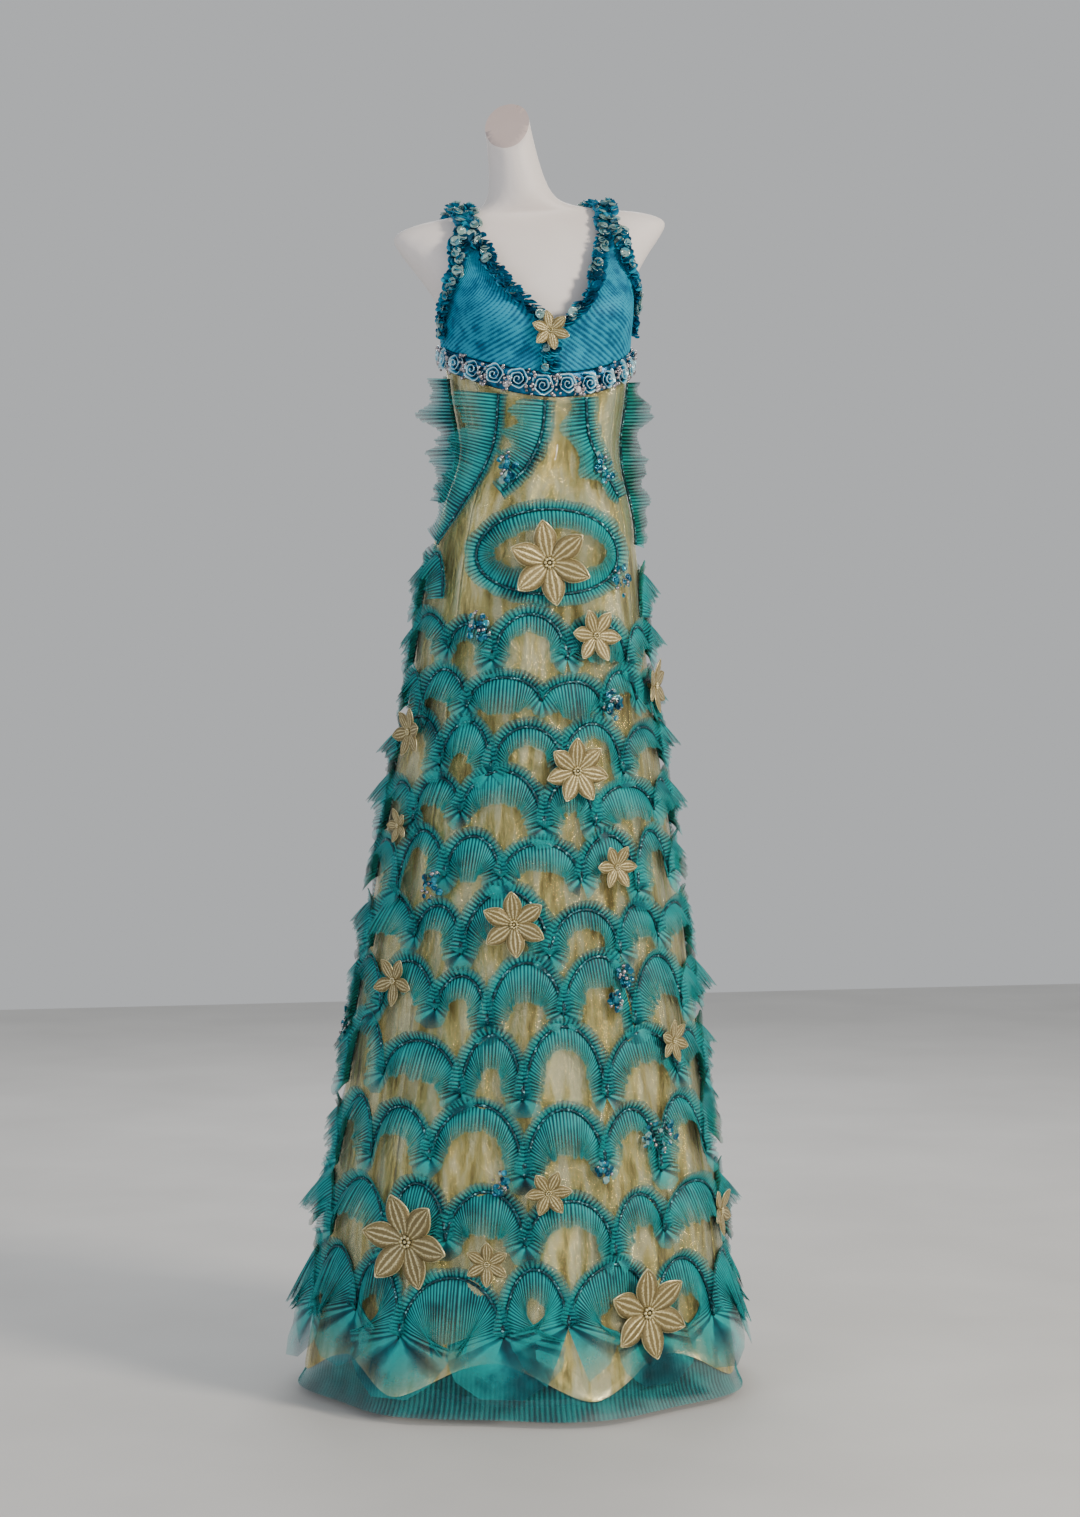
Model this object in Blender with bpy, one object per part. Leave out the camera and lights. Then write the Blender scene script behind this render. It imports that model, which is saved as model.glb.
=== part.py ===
"""Empire-line prom dress on a limbless dress form with a round floor stand.

Metres, +Z up, the front of the dress faces -Y. The origin is the centre of the stand's underside.
The dress is built from one body line: a table of level sections with flutes towards the hem.
A point on it is given by an angle, 0 at the front and growing towards +X, and a height.
Every sewn-on piece is made from points of that line, moved out.
"""
import math

import bmesh
import bpy
from mathutils import Vector
from mathutils.bvhtree import BVHTree

MM = 0.001
SEAM_GAP = 0.3 * MM
SEAT_GAP = 0.35 * MM
SEAT_REACH = 3 * MM
CLOTH = 1.6 * MM
ORGANZA = 1.2 * MM

# Level sections of the body line, in millimetres.
SECTION_COLUMNS = ("height", "half_width", "half_depth", "centre_x", "centre_y", "squareness")
SECTIONS = [
    (0, 270, 262, -8, 6, 2.0),
    (106, 254, 242, -7, 6, 2.0),
    (231, 243, 226, -6, 6, 2.0),
    (356, 226, 206, -5, 6, 2.0),
    (481, 210, 188, -4, 7, 2.0),
    (606, 192, 170, -2, 8, 2.0),
    (731, 173, 152, 0, 10, 2.0),
    (856, 152, 134, 3, 12, 2.0),
    (981, 137, 120, 5, 9, 2.0),
    (1075, 122, 104, 8, 3, 2.0),
    (1162, 101, 85, 11, 0, 2.0),
    (1240, 111, 90, 9, 0, 2.0),
    (1290, 116, 94, 8, 1, 2.0),
    (1340, 120, 94, 6, 3, 2.1),
    (1380, 139, 82, 3, 6, 2.2),
    (1415, 166, 66, 2, 8, 2.3),
    (1438, 181, 51, 3, 9, 2.3),
    (1450, 172, 41, 2, 9, 2.3),
    (1458, 120, 37, -1, 9, 2.2),
    (1464, 72, 41, -5, 8, 2.1),
    (1472, 52, 45, -8, 7, 2.0),
    (1488, 41, 46, -9, 5, 2.0),
    (1515, 35, 42, -10, 2, 2.0),
    (1550, 32, 37, -11, 0, 2.0),
    (1625, 31, 35, -11, -2, 2.0),
]

# Flutes of the hem: angle in degrees, depth in millimetres, half width in degrees.
FLUTES = [
    (-88, 20, 17), (-46, 24, 17), (5, 23, 18), (54, 22, 17),
    (100, 19, 17), (146, 23, 17), (190, 21, 18), (232, 22, 17),
]
FLUTE_TOP = 520 * MM
FLUTE_MEAN_DEPTH = 8 * MM

# Shoulders drop towards -X, and the neck leans the same way.
TILT_START = 1230 * MM
TILT_FULL = 1420 * MM
TILT_SLOPE = 0.085
NECK_LEAN_START = 1462 * MM
NECK_LEAN_SLOPE = 0.17

# Skirt and midriff: name, angles of the two seams and number of columns between them.
PANELS = [("skirt_front", -52.5, 52.5, 14), ("skirt_right", 52.5, 127.5, 10),
          ("skirt_back", 127.5, 232.5, 14), ("skirt_left", 232.5, 307.5, 10)]
COLUMN_ANGLE = 7.5
PANEL_LEVELS = (30, 80, 150, 240, 345, 460, 590, 725, 860, 970, 1060, 1120, 1165, 1205)
# Levels above the first of these follow the dip of the band, wholly at the second.
DIP_FROM = 1100 * MM
DIP_WHOLE = 1228 * MM
# Sheer hem: height and distance out of the body line, in millimetres.
SHEER_HEM = [(80, -2.1), (24, -2.6), (9, 5)]
BAND_HEIGHT = 30 * MM
BAND_SIDE = 1286 * MM
BAND_FRONT_DIP = 46 * MM
BAND_THICK = 3 * MM
ROSE_RISE = 5 * MM
ROSE_COUNT = 24

# Bust cups: height, angle of the neck edge and angle of the side edge. They meet at the centre.
CUP_LEVELS = [
    (1298, 0.2, 84), (1318, 0.2, 83), (1338, 0.3, 79), (1354, 11, 69), (1370, 20, 59),
    (1390, 23.5, 47), (1410, 24, 38), (1426, 23.5, 32),
]
CUP_PLEATS = 8
CUP_PLEAT_RISE = 1.6 * MM
CUP_DOME = 27 * MM
CUP_LIFT = 1.5 * MM
CUP_CENTRE = (33, 1328)
CUP_SPREAD = (27, 38)

# Back of the bodice: angle from the front and height of the upper edge.
BACK_EDGE = [(84, 1334), (105, 1338), (130, 1352), (150, 1376), (165, 1372), (180, 1366)]
BACK_COLUMNS = 12
BACK_ROWS = 4

# Straps run from the cup's upper edge over the shoulder, round a level axis, to the bodice back.
STRAP_WIDTH = 20 * MM
STRAP_SIDE = 88 * MM
STRAP_CENTRE = (9 * MM, 1375 * MM)
STRAP_TURNS = (54, 66, 78, 91, 104, 118, 133, 149, 166)
STRAP_BACK_ANGLES = (148, 140, 132)
STRAP_CLEAR = 1.1 * MM
STRAP_GAP = 0.5 * MM
STRAP_REACH = 300 * MM

# Ruffled trims of the neckline and the armholes: width, lean, then cup level and part of the cup.
TRIM_WIDTH = 13 * MM
TRIM_LEAN = 8
TRIM_WAVE = 8
TRIM_STEPS = 10
TRIMS = [("neck_trim", 0.12, 6.5, 2.5), ("armhole_trim", 0.86, 6.3, 1.0)]

# Frills: height of the feet and rise of the arches in millimetres, arches, turn in degrees.
FRILL_ROWS = [
    (905, 46, 11, 6),
    (843, 46, 12, 20),
    (777, 50, 12, 4),
    (707, 54, 13, 19),
    (633, 57, 14, 7),
    (555, 61, 14, 20),
    (473, 64, 15, 3),
    (387, 67, 14, 16),
    (297, 70, 15, 9),
    (203, 73, 16, 12),
    (106, 75, 16, 2),
]
ARCH_STEPS = (0.0, 0.08, 0.27, 0.5, 0.73, 0.92)
# Uneven arches: wander of the feet as a share of the pitch, change of the rise as a share of it.
ARCH_WANDER = 0.13
ARCH_UNEVEN = 0.07
ARCH_ROUNDNESS = 0.7
FRILL_WIDTH = 24 * MM
FRILL_LEAN = 38
FRILL_WAVE = 9
BACK_ROW = {"foot": 968, "rise": 60, "arches": 8, "start": 62, "end": 298}
HIP_OVAL = {"angle": -2, "height": 1036, "half_angle": 42, "half_height": 52, "steps": 16}

# Frills of the midriff: name, width in millimetres, then the path as (angle, height) pairs.
MIDRIFF_FRILLS = [
    ("midriff_frill_1", 22, [(-6, 1212), (-9, 1180), (-19, 1140), (-34, 1108)]),
    ("midriff_frill_2", 24, [(-36, 1220), (-42, 1180), (-52, 1130), (-66, 1080), (-80, 1048)]),
    ("midriff_frill_3", 26, [(-84, 1238), (-88, 1195), (-86, 1150), (-92, 1100)]),
    ("midriff_frill_4", 22, [(22, 1216), (26, 1180), (38, 1140), (50, 1104)]),
    ("midriff_frill_5", 26, [(74, 1232), (78, 1190), (80, 1140), (74, 1085), (66, 1048)]),
    ("midriff_frill_6", 24, [(118, 1240), (121, 1190), (124, 1140), (119, 1085)]),
    ("midriff_frill_7", 24, [(178, 1240), (170, 1190), (178, 1140), (190, 1085)]),
    ("midriff_frill_8", 24, [(236, 1240), (230, 1190), (222, 1140), (232, 1085)]),
]
MIDRIFF_STEPS = 6

# Flowers sewn on: angle, height, petal length in millimetres, petals, turn in degrees.
FLOWERS = [
    (-4, 1022, 52, 6, 10), (19, 935, 34, 6, 25), (62, 873, 34, 6, 0), (-73, 818, 31, 6, 40),
    (5, 763, 40, 7, 15), (-69, 702, 22, 5, 0), (22, 654, 28, 6, 30), (-16, 588, 40, 6, 5),
    (-62, 521, 31, 5, 20), (41, 433, 27, 6, 12), (-3, 268, 28, 6, 35), (-44, 213, 58, 6, 20),
    (-22, 190, 27, 6, 0), (23, 130, 56, 6, 8), (58, 232, 31, 5, 15),
    (158, 880, 36, 6, 10), (196, 705, 34, 6, 30), (150, 520, 38, 6, 0), (202, 262, 44, 6, 45),
]
NECK_FLOWER = {"angle": -3.5, "height": 1304, "petal": 24, "petals": 6, "turn": 12, "rise": 12}
PETAL_HEIGHT = 12 * MM
PETAL_THICK = 1.5 * MM
# Shares of a petal's length: notch between petals, shoulder of a petal, lift of its tip.
PETAL_NOTCH = 0.27
PETAL_SHOULDER = 0.66
PETAL_LIFT = 0.10
SHOULDER_ANGLE = 0.27
CROWN_RISE = 4 * MM
FLOWER_FOOT = 0.17
FLOWER_CLEAR = 7 * MM
NUDGES = 60
# Flowers press the frills under them to this share of their width.
PRESSED = 0.42
PRESS_REACH = 26 * MM

# Dress form and stand.
FORM_BOTTOM = 905
FORM_LEVELS = (905, 915, 970, 1060, 1120, 1165, 1205, 1240, 1290, 1340, 1370, 1400,
               1425, 1442, 1453, 1459, 1465, 1475, 1492, 1520, 1560, 1625)
FORM_SIDES = 22
FORM_INSET = 3.4 * MM
FORM_HIP_INSET = 7 * MM
FORM_HIP_FROM = 1100
FORM_HIP_SPAN = 190
FORM_FOOT_INSET = 12 * MM
# The shoulders end in flat ovals, cut on a slant: a point of the plane and its normal, per side.
# The planes run on downwards through the body, so they cut only above the armpits.
SHOULDER_POINT = (0.165, 0.009, 1.412)
SHOULDER_NORMAL = (0.89, 0.0, -0.456)
ARMPIT_HEIGHT = 1310 * MM
NECK_CUT_POINT = (-0.030, 0.0, 1.568)
NECK_CUT_NORMAL = (-0.42, -0.62, 0.66)
POLE_RADIUS = 12.5 * MM
POLE_CENTRE = (4 * MM, 8 * MM)
BASE_RADIUS = 150 * MM
BASE_THICK = 8 * MM
ROUND_SIDES = 32


def smooth(value):
    """Ease from 0 to 1."""
    value = min(1.0, max(0.0, value))
    return value * value * (3 - 2 * value)


def section(height):
    """Section of the body line at a height in millimetres, by cubic curves through the table."""
    rows = SECTIONS
    height = min(max(height, rows[0][0]), rows[-1][0])
    index = max(i for i in range(len(rows) - 1) if rows[i][0] <= height)
    low, high = rows[index], rows[index + 1]
    before = rows[max(index - 1, 0)]
    after = rows[min(index + 2, len(rows) - 1)]
    span = high[0] - low[0]
    t = (height - low[0]) / span
    values = []
    for column in range(1, len(SECTION_COLUMNS)):
        start = (high[column] - before[column]) / (high[0] - before[0]) * span
        end = (after[column] - low[column]) / (after[0] - low[0]) * span
        values.append((2 * t**3 - 3 * t**2 + 1) * low[column] + (t**3 - 2 * t**2 + t) * start
                      + (3 * t**2 - 2 * t**3) * high[column] + (t**3 - t**2) * end)
    return values


def flute(angle, height):
    """How far the hem's flutes stand out at an angle in degrees and a height in metres."""
    fade = smooth(1 - height / FLUTE_TOP)
    total = -FLUTE_MEAN_DEPTH
    for centre, depth, spread in FLUTES:
        away = (angle - centre + 180) % 360 - 180
        total += depth * MM * math.exp(-(away / spread) ** 2)
    return total * fade


def settle(point):
    """Drop of the shoulders and lean of the neck."""
    x, y, z = point
    slope = TILT_SLOPE * smooth((z - TILT_START) / (TILT_FULL - TILT_START))
    lean = NECK_LEAN_SLOPE * max(0.0, z - NECK_LEAN_START)
    return Vector((x - lean, y, z + x * slope))


def outward(angle, height):
    """Level direction out of the cloth, angle in degrees, height in metres."""
    half_width, half_depth = section(height / MM)[:2]
    turn = math.radians(angle)
    direction = Vector((math.sin(turn) / half_width, -math.cos(turn) / half_depth, 0))
    return direction.normalized()


def wall(angle, height, out=0.0):
    """Point of the body line, moved out. Angle in degrees, height and out in metres."""
    half_width, half_depth, centre_x, centre_y, squareness = section(height / MM)
    turn = math.radians(angle)
    power = 2 / squareness
    x = half_width * math.copysign(abs(math.sin(turn)) ** power, math.sin(turn))
    y = -half_depth * math.copysign(abs(math.cos(turn)) ** power, math.cos(turn))
    centre = Vector((centre_x + x, centre_y + y, height / MM)) * MM
    return settle(centre + outward(angle, height) * (out + flute(angle, height)))


def band_middle(angle):
    """Height of the middle of the underbust band."""
    front = ((1 + math.cos(math.radians(angle))) / 2) ** 2.5
    return BAND_SIDE - BAND_FRONT_DIP * front


def material(name, colour, roughness, metallic=0.0):
    """Principled material with one colour."""
    made = bpy.data.materials.new(name)
    made.use_nodes = True
    shader = made.node_tree.nodes["Principled BSDF"]
    shader.inputs["Base Color"].default_value = (*colour, 1)
    shader.inputs["Roughness"].default_value = roughness
    shader.inputs["Metallic"].default_value = metallic
    return made


def add_object(name, verts, faces, finish):
    """Closed mesh object from points and faces, its faces turned outwards."""
    mesh = bpy.data.meshes.new(name)
    mesh.from_pydata([tuple(v) for v in verts], [], faces)
    work = bmesh.new()
    work.from_mesh(mesh)
    bmesh.ops.recalc_face_normals(work, faces=work.faces)
    bmesh.ops.triangulate(work, faces=work.faces)
    work.to_mesh(mesh)
    work.free()
    mesh.materials.append(finish)
    mesh.shade_smooth()
    mesh.set_sharp_from_angle(angle=math.radians(40))
    made = bpy.data.objects.new(name, mesh)
    bpy.context.collection.objects.link(made)
    return made


def tube_faces(rings, sides, closed_sides=True, closed_rings=False):
    """Faces that join rings of points, with end caps where the run is open."""
    faces = []
    last_ring = rings if closed_rings else rings - 1
    last_side = sides if closed_sides else sides - 1
    for ring in range(last_ring):
        for side in range(last_side):
            here = ring * sides
            there = (ring + 1) % rings * sides
            nearby = (side + 1) % sides
            faces.append((here + side, here + nearby, there + nearby, there + side))
    if not closed_rings:
        faces.append(tuple(range(sides)))
        faces.append(tuple((rings - 1) * sides + side for side in range(sides)))
    return faces


def cloth_patch(name, outer, inner, finish):
    """Wall between two grids of points of the same rows and columns."""
    rows, columns = len(outer), len(outer[0])
    rings = []
    for column in range(columns):
        rings.append([outer[row][column] for row in range(rows)]
                     + [inner[row][column] for row in reversed(range(rows))])
    verts = [point for ring in rings for point in ring]
    faces = tube_faces(columns, 2 * rows)[:-2]
    for column in (0, columns - 1):
        start = column * 2 * rows
        for row in range(rows - 1):
            faces.append((start + row, start + row + 1,
                          start + 2 * rows - 2 - row, start + 2 * rows - 1 - row))
    return add_object(name, verts, faces, finish)


def cloth_ring(name, outer, inner, finish):
    """Wall that runs all round between two grids of points."""
    rows, columns = len(outer), len(outer[0])
    verts = []
    for column in range(columns):
        verts += [outer[row][column] for row in range(rows)]
        verts += [inner[row][column] for row in reversed(range(rows))]
    return add_object(name, verts, tube_faces(columns, 2 * rows, closed_rings=True), finish)


def world_tree(objects):
    """Search tree over the faces of some objects."""
    verts, faces = [], []
    for item in objects:
        start = len(verts)
        verts += [v.co.copy() for v in item.data.vertices]
        faces += [tuple(start + i for i in face.vertices) for face in item.data.polygons]
    return BVHTree.FromPolygons(verts, faces)


def clearance(tree, point, direction):
    """Distance from a point in to the cloth under it, along a direction."""
    reach = 30 * MM
    hit = tree.ray_cast(point + direction * reach, -direction, 3 * reach)
    return 3 * reach if hit[0] is None else hit[3] - reach


def seat(tree, points, directions, closed, gap=SEAT_GAP):
    """Move points until the straight runs between them clear the cloth by the gap."""
    count = len(points)
    moved = []
    for point, direction in zip(points, directions):
        away = clearance(tree, point, direction)
        moved.append(point + direction * (gap - away) if away < SEAT_REACH else point)
    for _ in range(6):
        for i in range(count if closed else count - 1):
            j = (i + 1) % count
            short = 0.0
            for part in (0.0, 0.15, 0.3, 0.45, 0.6, 0.75, 0.9, 1.0):
                between = moved[i].lerp(moved[j], part)
                facing = directions[i].lerp(directions[j], part).normalized()
                short = max(short, gap - clearance(tree, between, facing))
            if short > 0:
                moved[i] = moved[i] + directions[i] * short
                moved[j] = moved[j] + directions[j] * short
    return moved


def frill(name, spots, points, facings, tree, width, finish, closed=True):
    """Strip of organza sewn along a path and standing out from the cloth.

    spots holds the angle, height, share of the full width and lean for each point of the path.
    """
    count = len(points)
    sides, mitres = [], []
    for i in range(count):
        before = points[i - 1] if closed or i > 0 else points[i]
        after = points[(i + 1) % count] if closed or i < count - 1 else points[i]
        steps = [(points[i] - before), (after - points[i])]
        steps = [step.normalized() for step in steps if step.length > 0]
        along = sum(steps, Vector())
        side = along.cross(facings[i]).normalized()
        bend = along.length / len(steps)
        sides.append(side)
        mitres.append(1 / max(bend, 0.4))
    near = seat(tree, points, facings, closed)
    far = [p + s * ORGANZA * m for p, s, m in zip(near, sides, mitres)]
    lifts = [max(0.0, (moved - start).dot(facing)) for moved, start, facing
             in zip(seat(tree, far, facings, closed), far, facings)]
    near = [p + facing * lift for p, facing, lift in zip(near, facings, lifts)]
    far = [p + facing * lift for p, facing, lift in zip(far, facings, lifts)]
    verts = []
    for i, (angle, height, share, lean) in enumerate(spots):
        reach = width * share
        turn = math.radians(lean)
        shift = sides[i] * reach * math.sin(turn) + facings[i] * reach * math.cos(turn)
        verts += [near[i], near[i] + shift, far[i] + shift, far[i]]
    faces = tube_faces(count, 4, closed_rings=closed)
    return add_object(name, verts, faces, finish)


def open_cloth(angle, height, petal, sewn):
    """Nearest place for a flower whose centre stays clear of every frill's sewn line."""
    need = FLOWER_FOOT * petal + FLOWER_CLEAR
    for _ in range(NUDGES):
        here = wall(angle, height)
        nearest = min(sewn, key=lambda point: (point - here).length)
        away = here - nearest
        if away.length >= need:
            break
        step = away.normalized() * MM
        one_degree = wall(angle + 1, height) - here
        angle += step.dot(one_degree) / one_degree.length_squared
        height += step.z
    return angle, height


def frill_share(point, flowers):
    """Share of its full width that a frill keeps under and beside the flowers."""
    share = 1.0
    for centre, petal in flowers:
        beyond = (centre - point).length - petal
        share = min(share, PRESSED + (1 - PRESSED) * smooth(beyond / PRESS_REACH))
    return share


def arch_row(foot, rise, start, arches, pitch, row, closed):
    """Path of a row of round arches that meet in pointed feet."""
    spots = []
    for k in range(arches):
        wander = [ARCH_WANDER * math.sin(2.3 * (k + j) + 1.7 * row) * pitch for j in (0, 1)]
        if closed and k == arches - 1:
            wander[1] = ARCH_WANDER * math.sin(1.7 * row) * pitch
        left = start + pitch * k + wander[0]
        right = start + pitch * (k + 1) + wander[1]
        lift = rise * (1 + ARCH_UNEVEN * math.sin(1.9 * k + 2.1 * row))
        for step in ARCH_STEPS:
            across = 0.5 * step + 0.25 * (1 - math.cos(math.pi * step))
            up = math.sin(math.pi * step) ** ARCH_ROUNDNESS
            angle = left + (right - left) * across
            height = (foot + lift * up) * MM
            lean = FRILL_LEAN + FRILL_WAVE * math.cos(2 * math.pi * step)
            spots.append((angle, height, 1.0, lean))
    return spots


def on_wall(spots):
    """Points of the body line for a path."""
    return [wall(spot[0], spot[1]) for spot in spots]


def facing_out(spots):
    """Level directions out of the cloth for a path."""
    return [outward(spot[0], spot[1]) for spot in spots]


def curve_through(pairs, steps):
    """Even steps along a smooth curve through a few pairs."""
    last = len(pairs) - 1
    found = []
    for i in range(steps + 1):
        place = i / steps * last
        k = min(int(place), last - 1)
        t = place - k
        p0, p1 = pairs[max(k - 1, 0)], pairs[k]
        p2, p3 = pairs[k + 1], pairs[min(k + 2, last)]
        found.append(tuple(
            0.5 * (2 * b + (c - a) * t + (2 * a - 5 * b + 4 * c - d) * t * t
                   + (3 * b - a - 3 * c + d) * t ** 3)
            for a, b, c, d in zip(p0, p1, p2, p3)))
    return found


def make_skirt(finish):
    """Gold panels from the hem to the underbust band."""
    made = []
    for name, start, end, columns in PANELS:
        grids = []
        for depth in (0.0, -CLOTH):
            grid = []
            for level in PANEL_LEVELS + (None,):
                row = []
                for column in range(columns + 1):
                    angle = start + (end - start) * column / columns
                    top = band_middle(angle) - BAND_HEIGHT / 2 - SEAM_GAP
                    height = top
                    if level is not None:
                        share = max(0.0, level * MM - DIP_FROM) / (DIP_WHOLE - DIP_FROM)
                        height = level * MM + (top - DIP_WHOLE) * share
                    edge = {0: 1, columns: -1}.get(column, 0)
                    radius = section(height / MM)[0] * MM
                    angle += edge * math.degrees(SEAM_GAP / 2 / radius)
                    row.append(wall(angle, height, depth))
                grid.append(row)
            grids.append(grid)
        made.append(cloth_patch(name, grids[0], grids[1], finish))
    return made


def make_hem(finish):
    """Sheer layer inside the skirt that shows below the gold hem."""
    columns = round(360 / COLUMN_ANGLE)
    grids = []
    for thick in (0.0, -ORGANZA):
        grids.append([[wall(COLUMN_ANGLE * k, level * MM, out * MM + thick)
                       for k in range(columns)] for level, out in SHEER_HEM])
    return cloth_ring("hem_organza", grids[0], grids[1], finish)


def make_band(finish):
    """Underbust band with ribbon roses raised in its outer face."""
    columns = ROSE_COUNT * 2
    outer, inner = [], []
    for part in (0.0, 0.5, 1.0):
        outer_row, inner_row = [], []
        for column in range(columns):
            angle = 360 * column / columns
            height = band_middle(angle) + (part - 0.5) * BAND_HEIGHT
            rise = ROSE_RISE if column % 2 and part == 0.5 else 0.0
            outer_row.append(wall(angle, height, BAND_THICK - CLOTH + rise))
            inner_row.append(wall(angle, height, -CLOTH))
        outer.append(outer_row)
        inner.append(inner_row)
    return cloth_ring("bust_band", outer, inner, finish)


def cup_out(angle, height):
    """How far the cup stands out of the body line."""
    across = (abs(angle) - CUP_CENTRE[0]) / CUP_SPREAD[0]
    up = (height / MM - CUP_CENTRE[1]) / CUP_SPREAD[1]
    return CUP_LIFT + CUP_DOME * math.exp(-across * across - up * up)


def cup_spot(side, part, level):
    """Angle and height on a cup: part runs from the neck edge to the side, level up the table."""
    row = min(int(level), len(CUP_LEVELS) - 2)
    t = level - row
    low, high = CUP_LEVELS[row], CUP_LEVELS[row + 1]
    neck = low[1] + (high[1] - low[1]) * t
    edge = low[2] + (high[2] - low[2]) * t
    angle = neck + (edge - neck) * part
    height = (low[0] + (high[0] - low[0]) * t) * MM
    floor = band_middle(angle) + BAND_HEIGHT / 2 + SEAM_GAP
    first = CUP_LEVELS[0][0] * MM
    top = CUP_LEVELS[-1][0] * MM
    height = floor + (height - first) * (top - floor) / (top - first)
    return side * angle, height


def make_cup(name, side, finish):
    """Bust cup with ruched pleats raised in its outer face, running down to the side."""
    columns = CUP_PLEATS * 2
    rows = len(CUP_LEVELS)
    outer, inner = [], []
    for row in range(rows):
        outer_row, inner_row = [], []
        for column in range(columns + 1):
            angle, height = cup_spot(side, column / columns, row)
            shape = cup_out(angle, height)
            rise = CUP_PLEAT_RISE if (column + row) % 2 else 0.0
            outer_row.append(wall(angle, height, shape + rise))
            inner_row.append(wall(angle, height, shape - CLOTH))
        outer.append(outer_row)
        inner.append(inner_row)
    return cloth_patch(name, outer, inner, finish)


def cup_facing(side, part, level):
    """Direction out of a cup's cloth."""
    def spot(p, k):
        angle, height = cup_spot(side, p, k)
        return wall(angle, height, cup_out(angle, height))

    across = spot(part + 0.05, level) - spot(part - 0.05, level)
    up = spot(part, min(level + 0.2, 7)) - spot(part, level - 0.2)
    return (across.cross(up) * side).normalized()


def back_edge(angle):
    """Height of the upper edge of the bodice back."""
    for (a0, h0), (a1, h1) in zip(BACK_EDGE, BACK_EDGE[1:]):
        if angle <= a1:
            return (h0 + (h1 - h0) * smooth((angle - a0) / (a1 - a0))) * MM
    return BACK_EDGE[-1][1] * MM


def make_back(name, side, finish):
    """Half of the bodice back, from the side seam to the centre back."""
    columns, rows = BACK_COLUMNS, BACK_ROWS
    side_gap = math.degrees(SEAM_GAP / SECTIONS[12][1] / MM)
    start, end = CUP_LEVELS[0][2] + side_gap, 180 - side_gap / 2
    grids = []
    for depth in (CUP_LIFT, CUP_LIFT - CLOTH):
        grid = []
        for row in range(rows):
            line = []
            for column in range(columns + 1):
                angle = start + (end - start) * column / columns
                floor = band_middle(angle) + BAND_HEIGHT / 2 + SEAM_GAP
                height = floor + (back_edge(angle) - floor) * row / (rows - 1)
                line.append(wall(side * angle, height, depth))
            grid.append(line)
        grids.append(grid)
    return cloth_patch(name, grids[0], grids[1], finish)


def make_form(finish):
    """Limbless torso with flat oval shoulder ends and a neck cut on a slant."""
    rings = []
    for level in FORM_LEVELS:
        low = smooth((FORM_HIP_FROM - level) / FORM_HIP_SPAN)
        inset = FORM_INSET + (FORM_HIP_INSET - FORM_INSET) * low
        if level == FORM_BOTTOM:
            inset += FORM_FOOT_INSET
        rings.append([wall(360 * k / FORM_SIDES, level * MM, -inset) for k in range(FORM_SIDES)])
    verts = [point for ring in rings for point in ring]
    form = add_object("form_torso", verts, tube_faces(len(rings), FORM_SIDES), finish)
    work = bmesh.new()
    work.from_mesh(form.data)
    cuts = [(Vector(NECK_CUT_POINT), Vector(NECK_CUT_NORMAL))]
    for side in (-1, 1):
        x, y, z = SHOULDER_POINT
        cuts.append((settle((side * x, y, z)), Vector(SHOULDER_NORMAL) * Vector((side, 1, 1))))
    for point, normal in cuts:
        upper = [face for face in work.faces
                 if min(vert.co.z for vert in face.verts) > ARMPIT_HEIGHT]
        sides = list(dict.fromkeys(edge for face in upper for edge in face.edges))
        corners = list(dict.fromkeys(vert for face in upper for vert in face.verts))
        cut = bmesh.ops.bisect_plane(work, geom=corners + sides + upper,
                                     plane_co=point, plane_no=normal, clear_outer=True)
        rim = [item for item in cut["geom_cut"] if isinstance(item, bmesh.types.BMEdge)]
        bmesh.ops.edgeloop_fill(work, edges=rim)
    bmesh.ops.remove_doubles(work, verts=work.verts, dist=0.2 * MM)
    bmesh.ops.recalc_face_normals(work, faces=work.faces)
    bmesh.ops.triangulate(work, faces=work.faces)
    work.to_mesh(form.data)
    work.free()
    return form


def make_strap(name, side, tree, finish):
    """Strap over a shoulder, from the cup's upper edge to the bodice back."""
    last_level = len(CUP_LEVELS) - 1
    lines = []
    for across, back_angle in zip((0.0, 0.5, 1.0), STRAP_BACK_ANGLES):
        front_angle, front_height = cup_spot(side, across, last_level)
        front = wall(front_angle, front_height + STRAP_GAP, CUP_LIFT - CLOTH)
        points, facings = [front], [outward(front_angle, front_height)]
        for turn in STRAP_TURNS:
            facing = Vector((0, -math.cos(math.radians(turn)), math.sin(math.radians(turn))))
            x = side * (STRAP_SIDE + (across - 0.5) * STRAP_WIDTH)
            centre = settle((x, STRAP_CENTRE[0], STRAP_CENTRE[1]))
            points.append(tree.ray_cast(centre + facing * STRAP_REACH, -facing)[0])
            facings.append(facing)
        back_height = back_edge(back_angle) + STRAP_GAP
        points.append(wall(side * back_angle, back_height, CUP_LIFT - CLOTH))
        facings.append(outward(side * back_angle, back_height))
        lines.append((seat(tree, points, facings, False, STRAP_CLEAR), facings))
    verts = []
    for i in range(len(STRAP_TURNS) + 2):
        verts += [line[0][i] for line in lines]
        verts += [line[0][i] + line[1][i] * CLOTH for line in reversed(lines)]
    return add_object(name, verts, tube_faces(len(STRAP_TURNS) + 2, 2 * len(lines)), finish)


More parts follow.
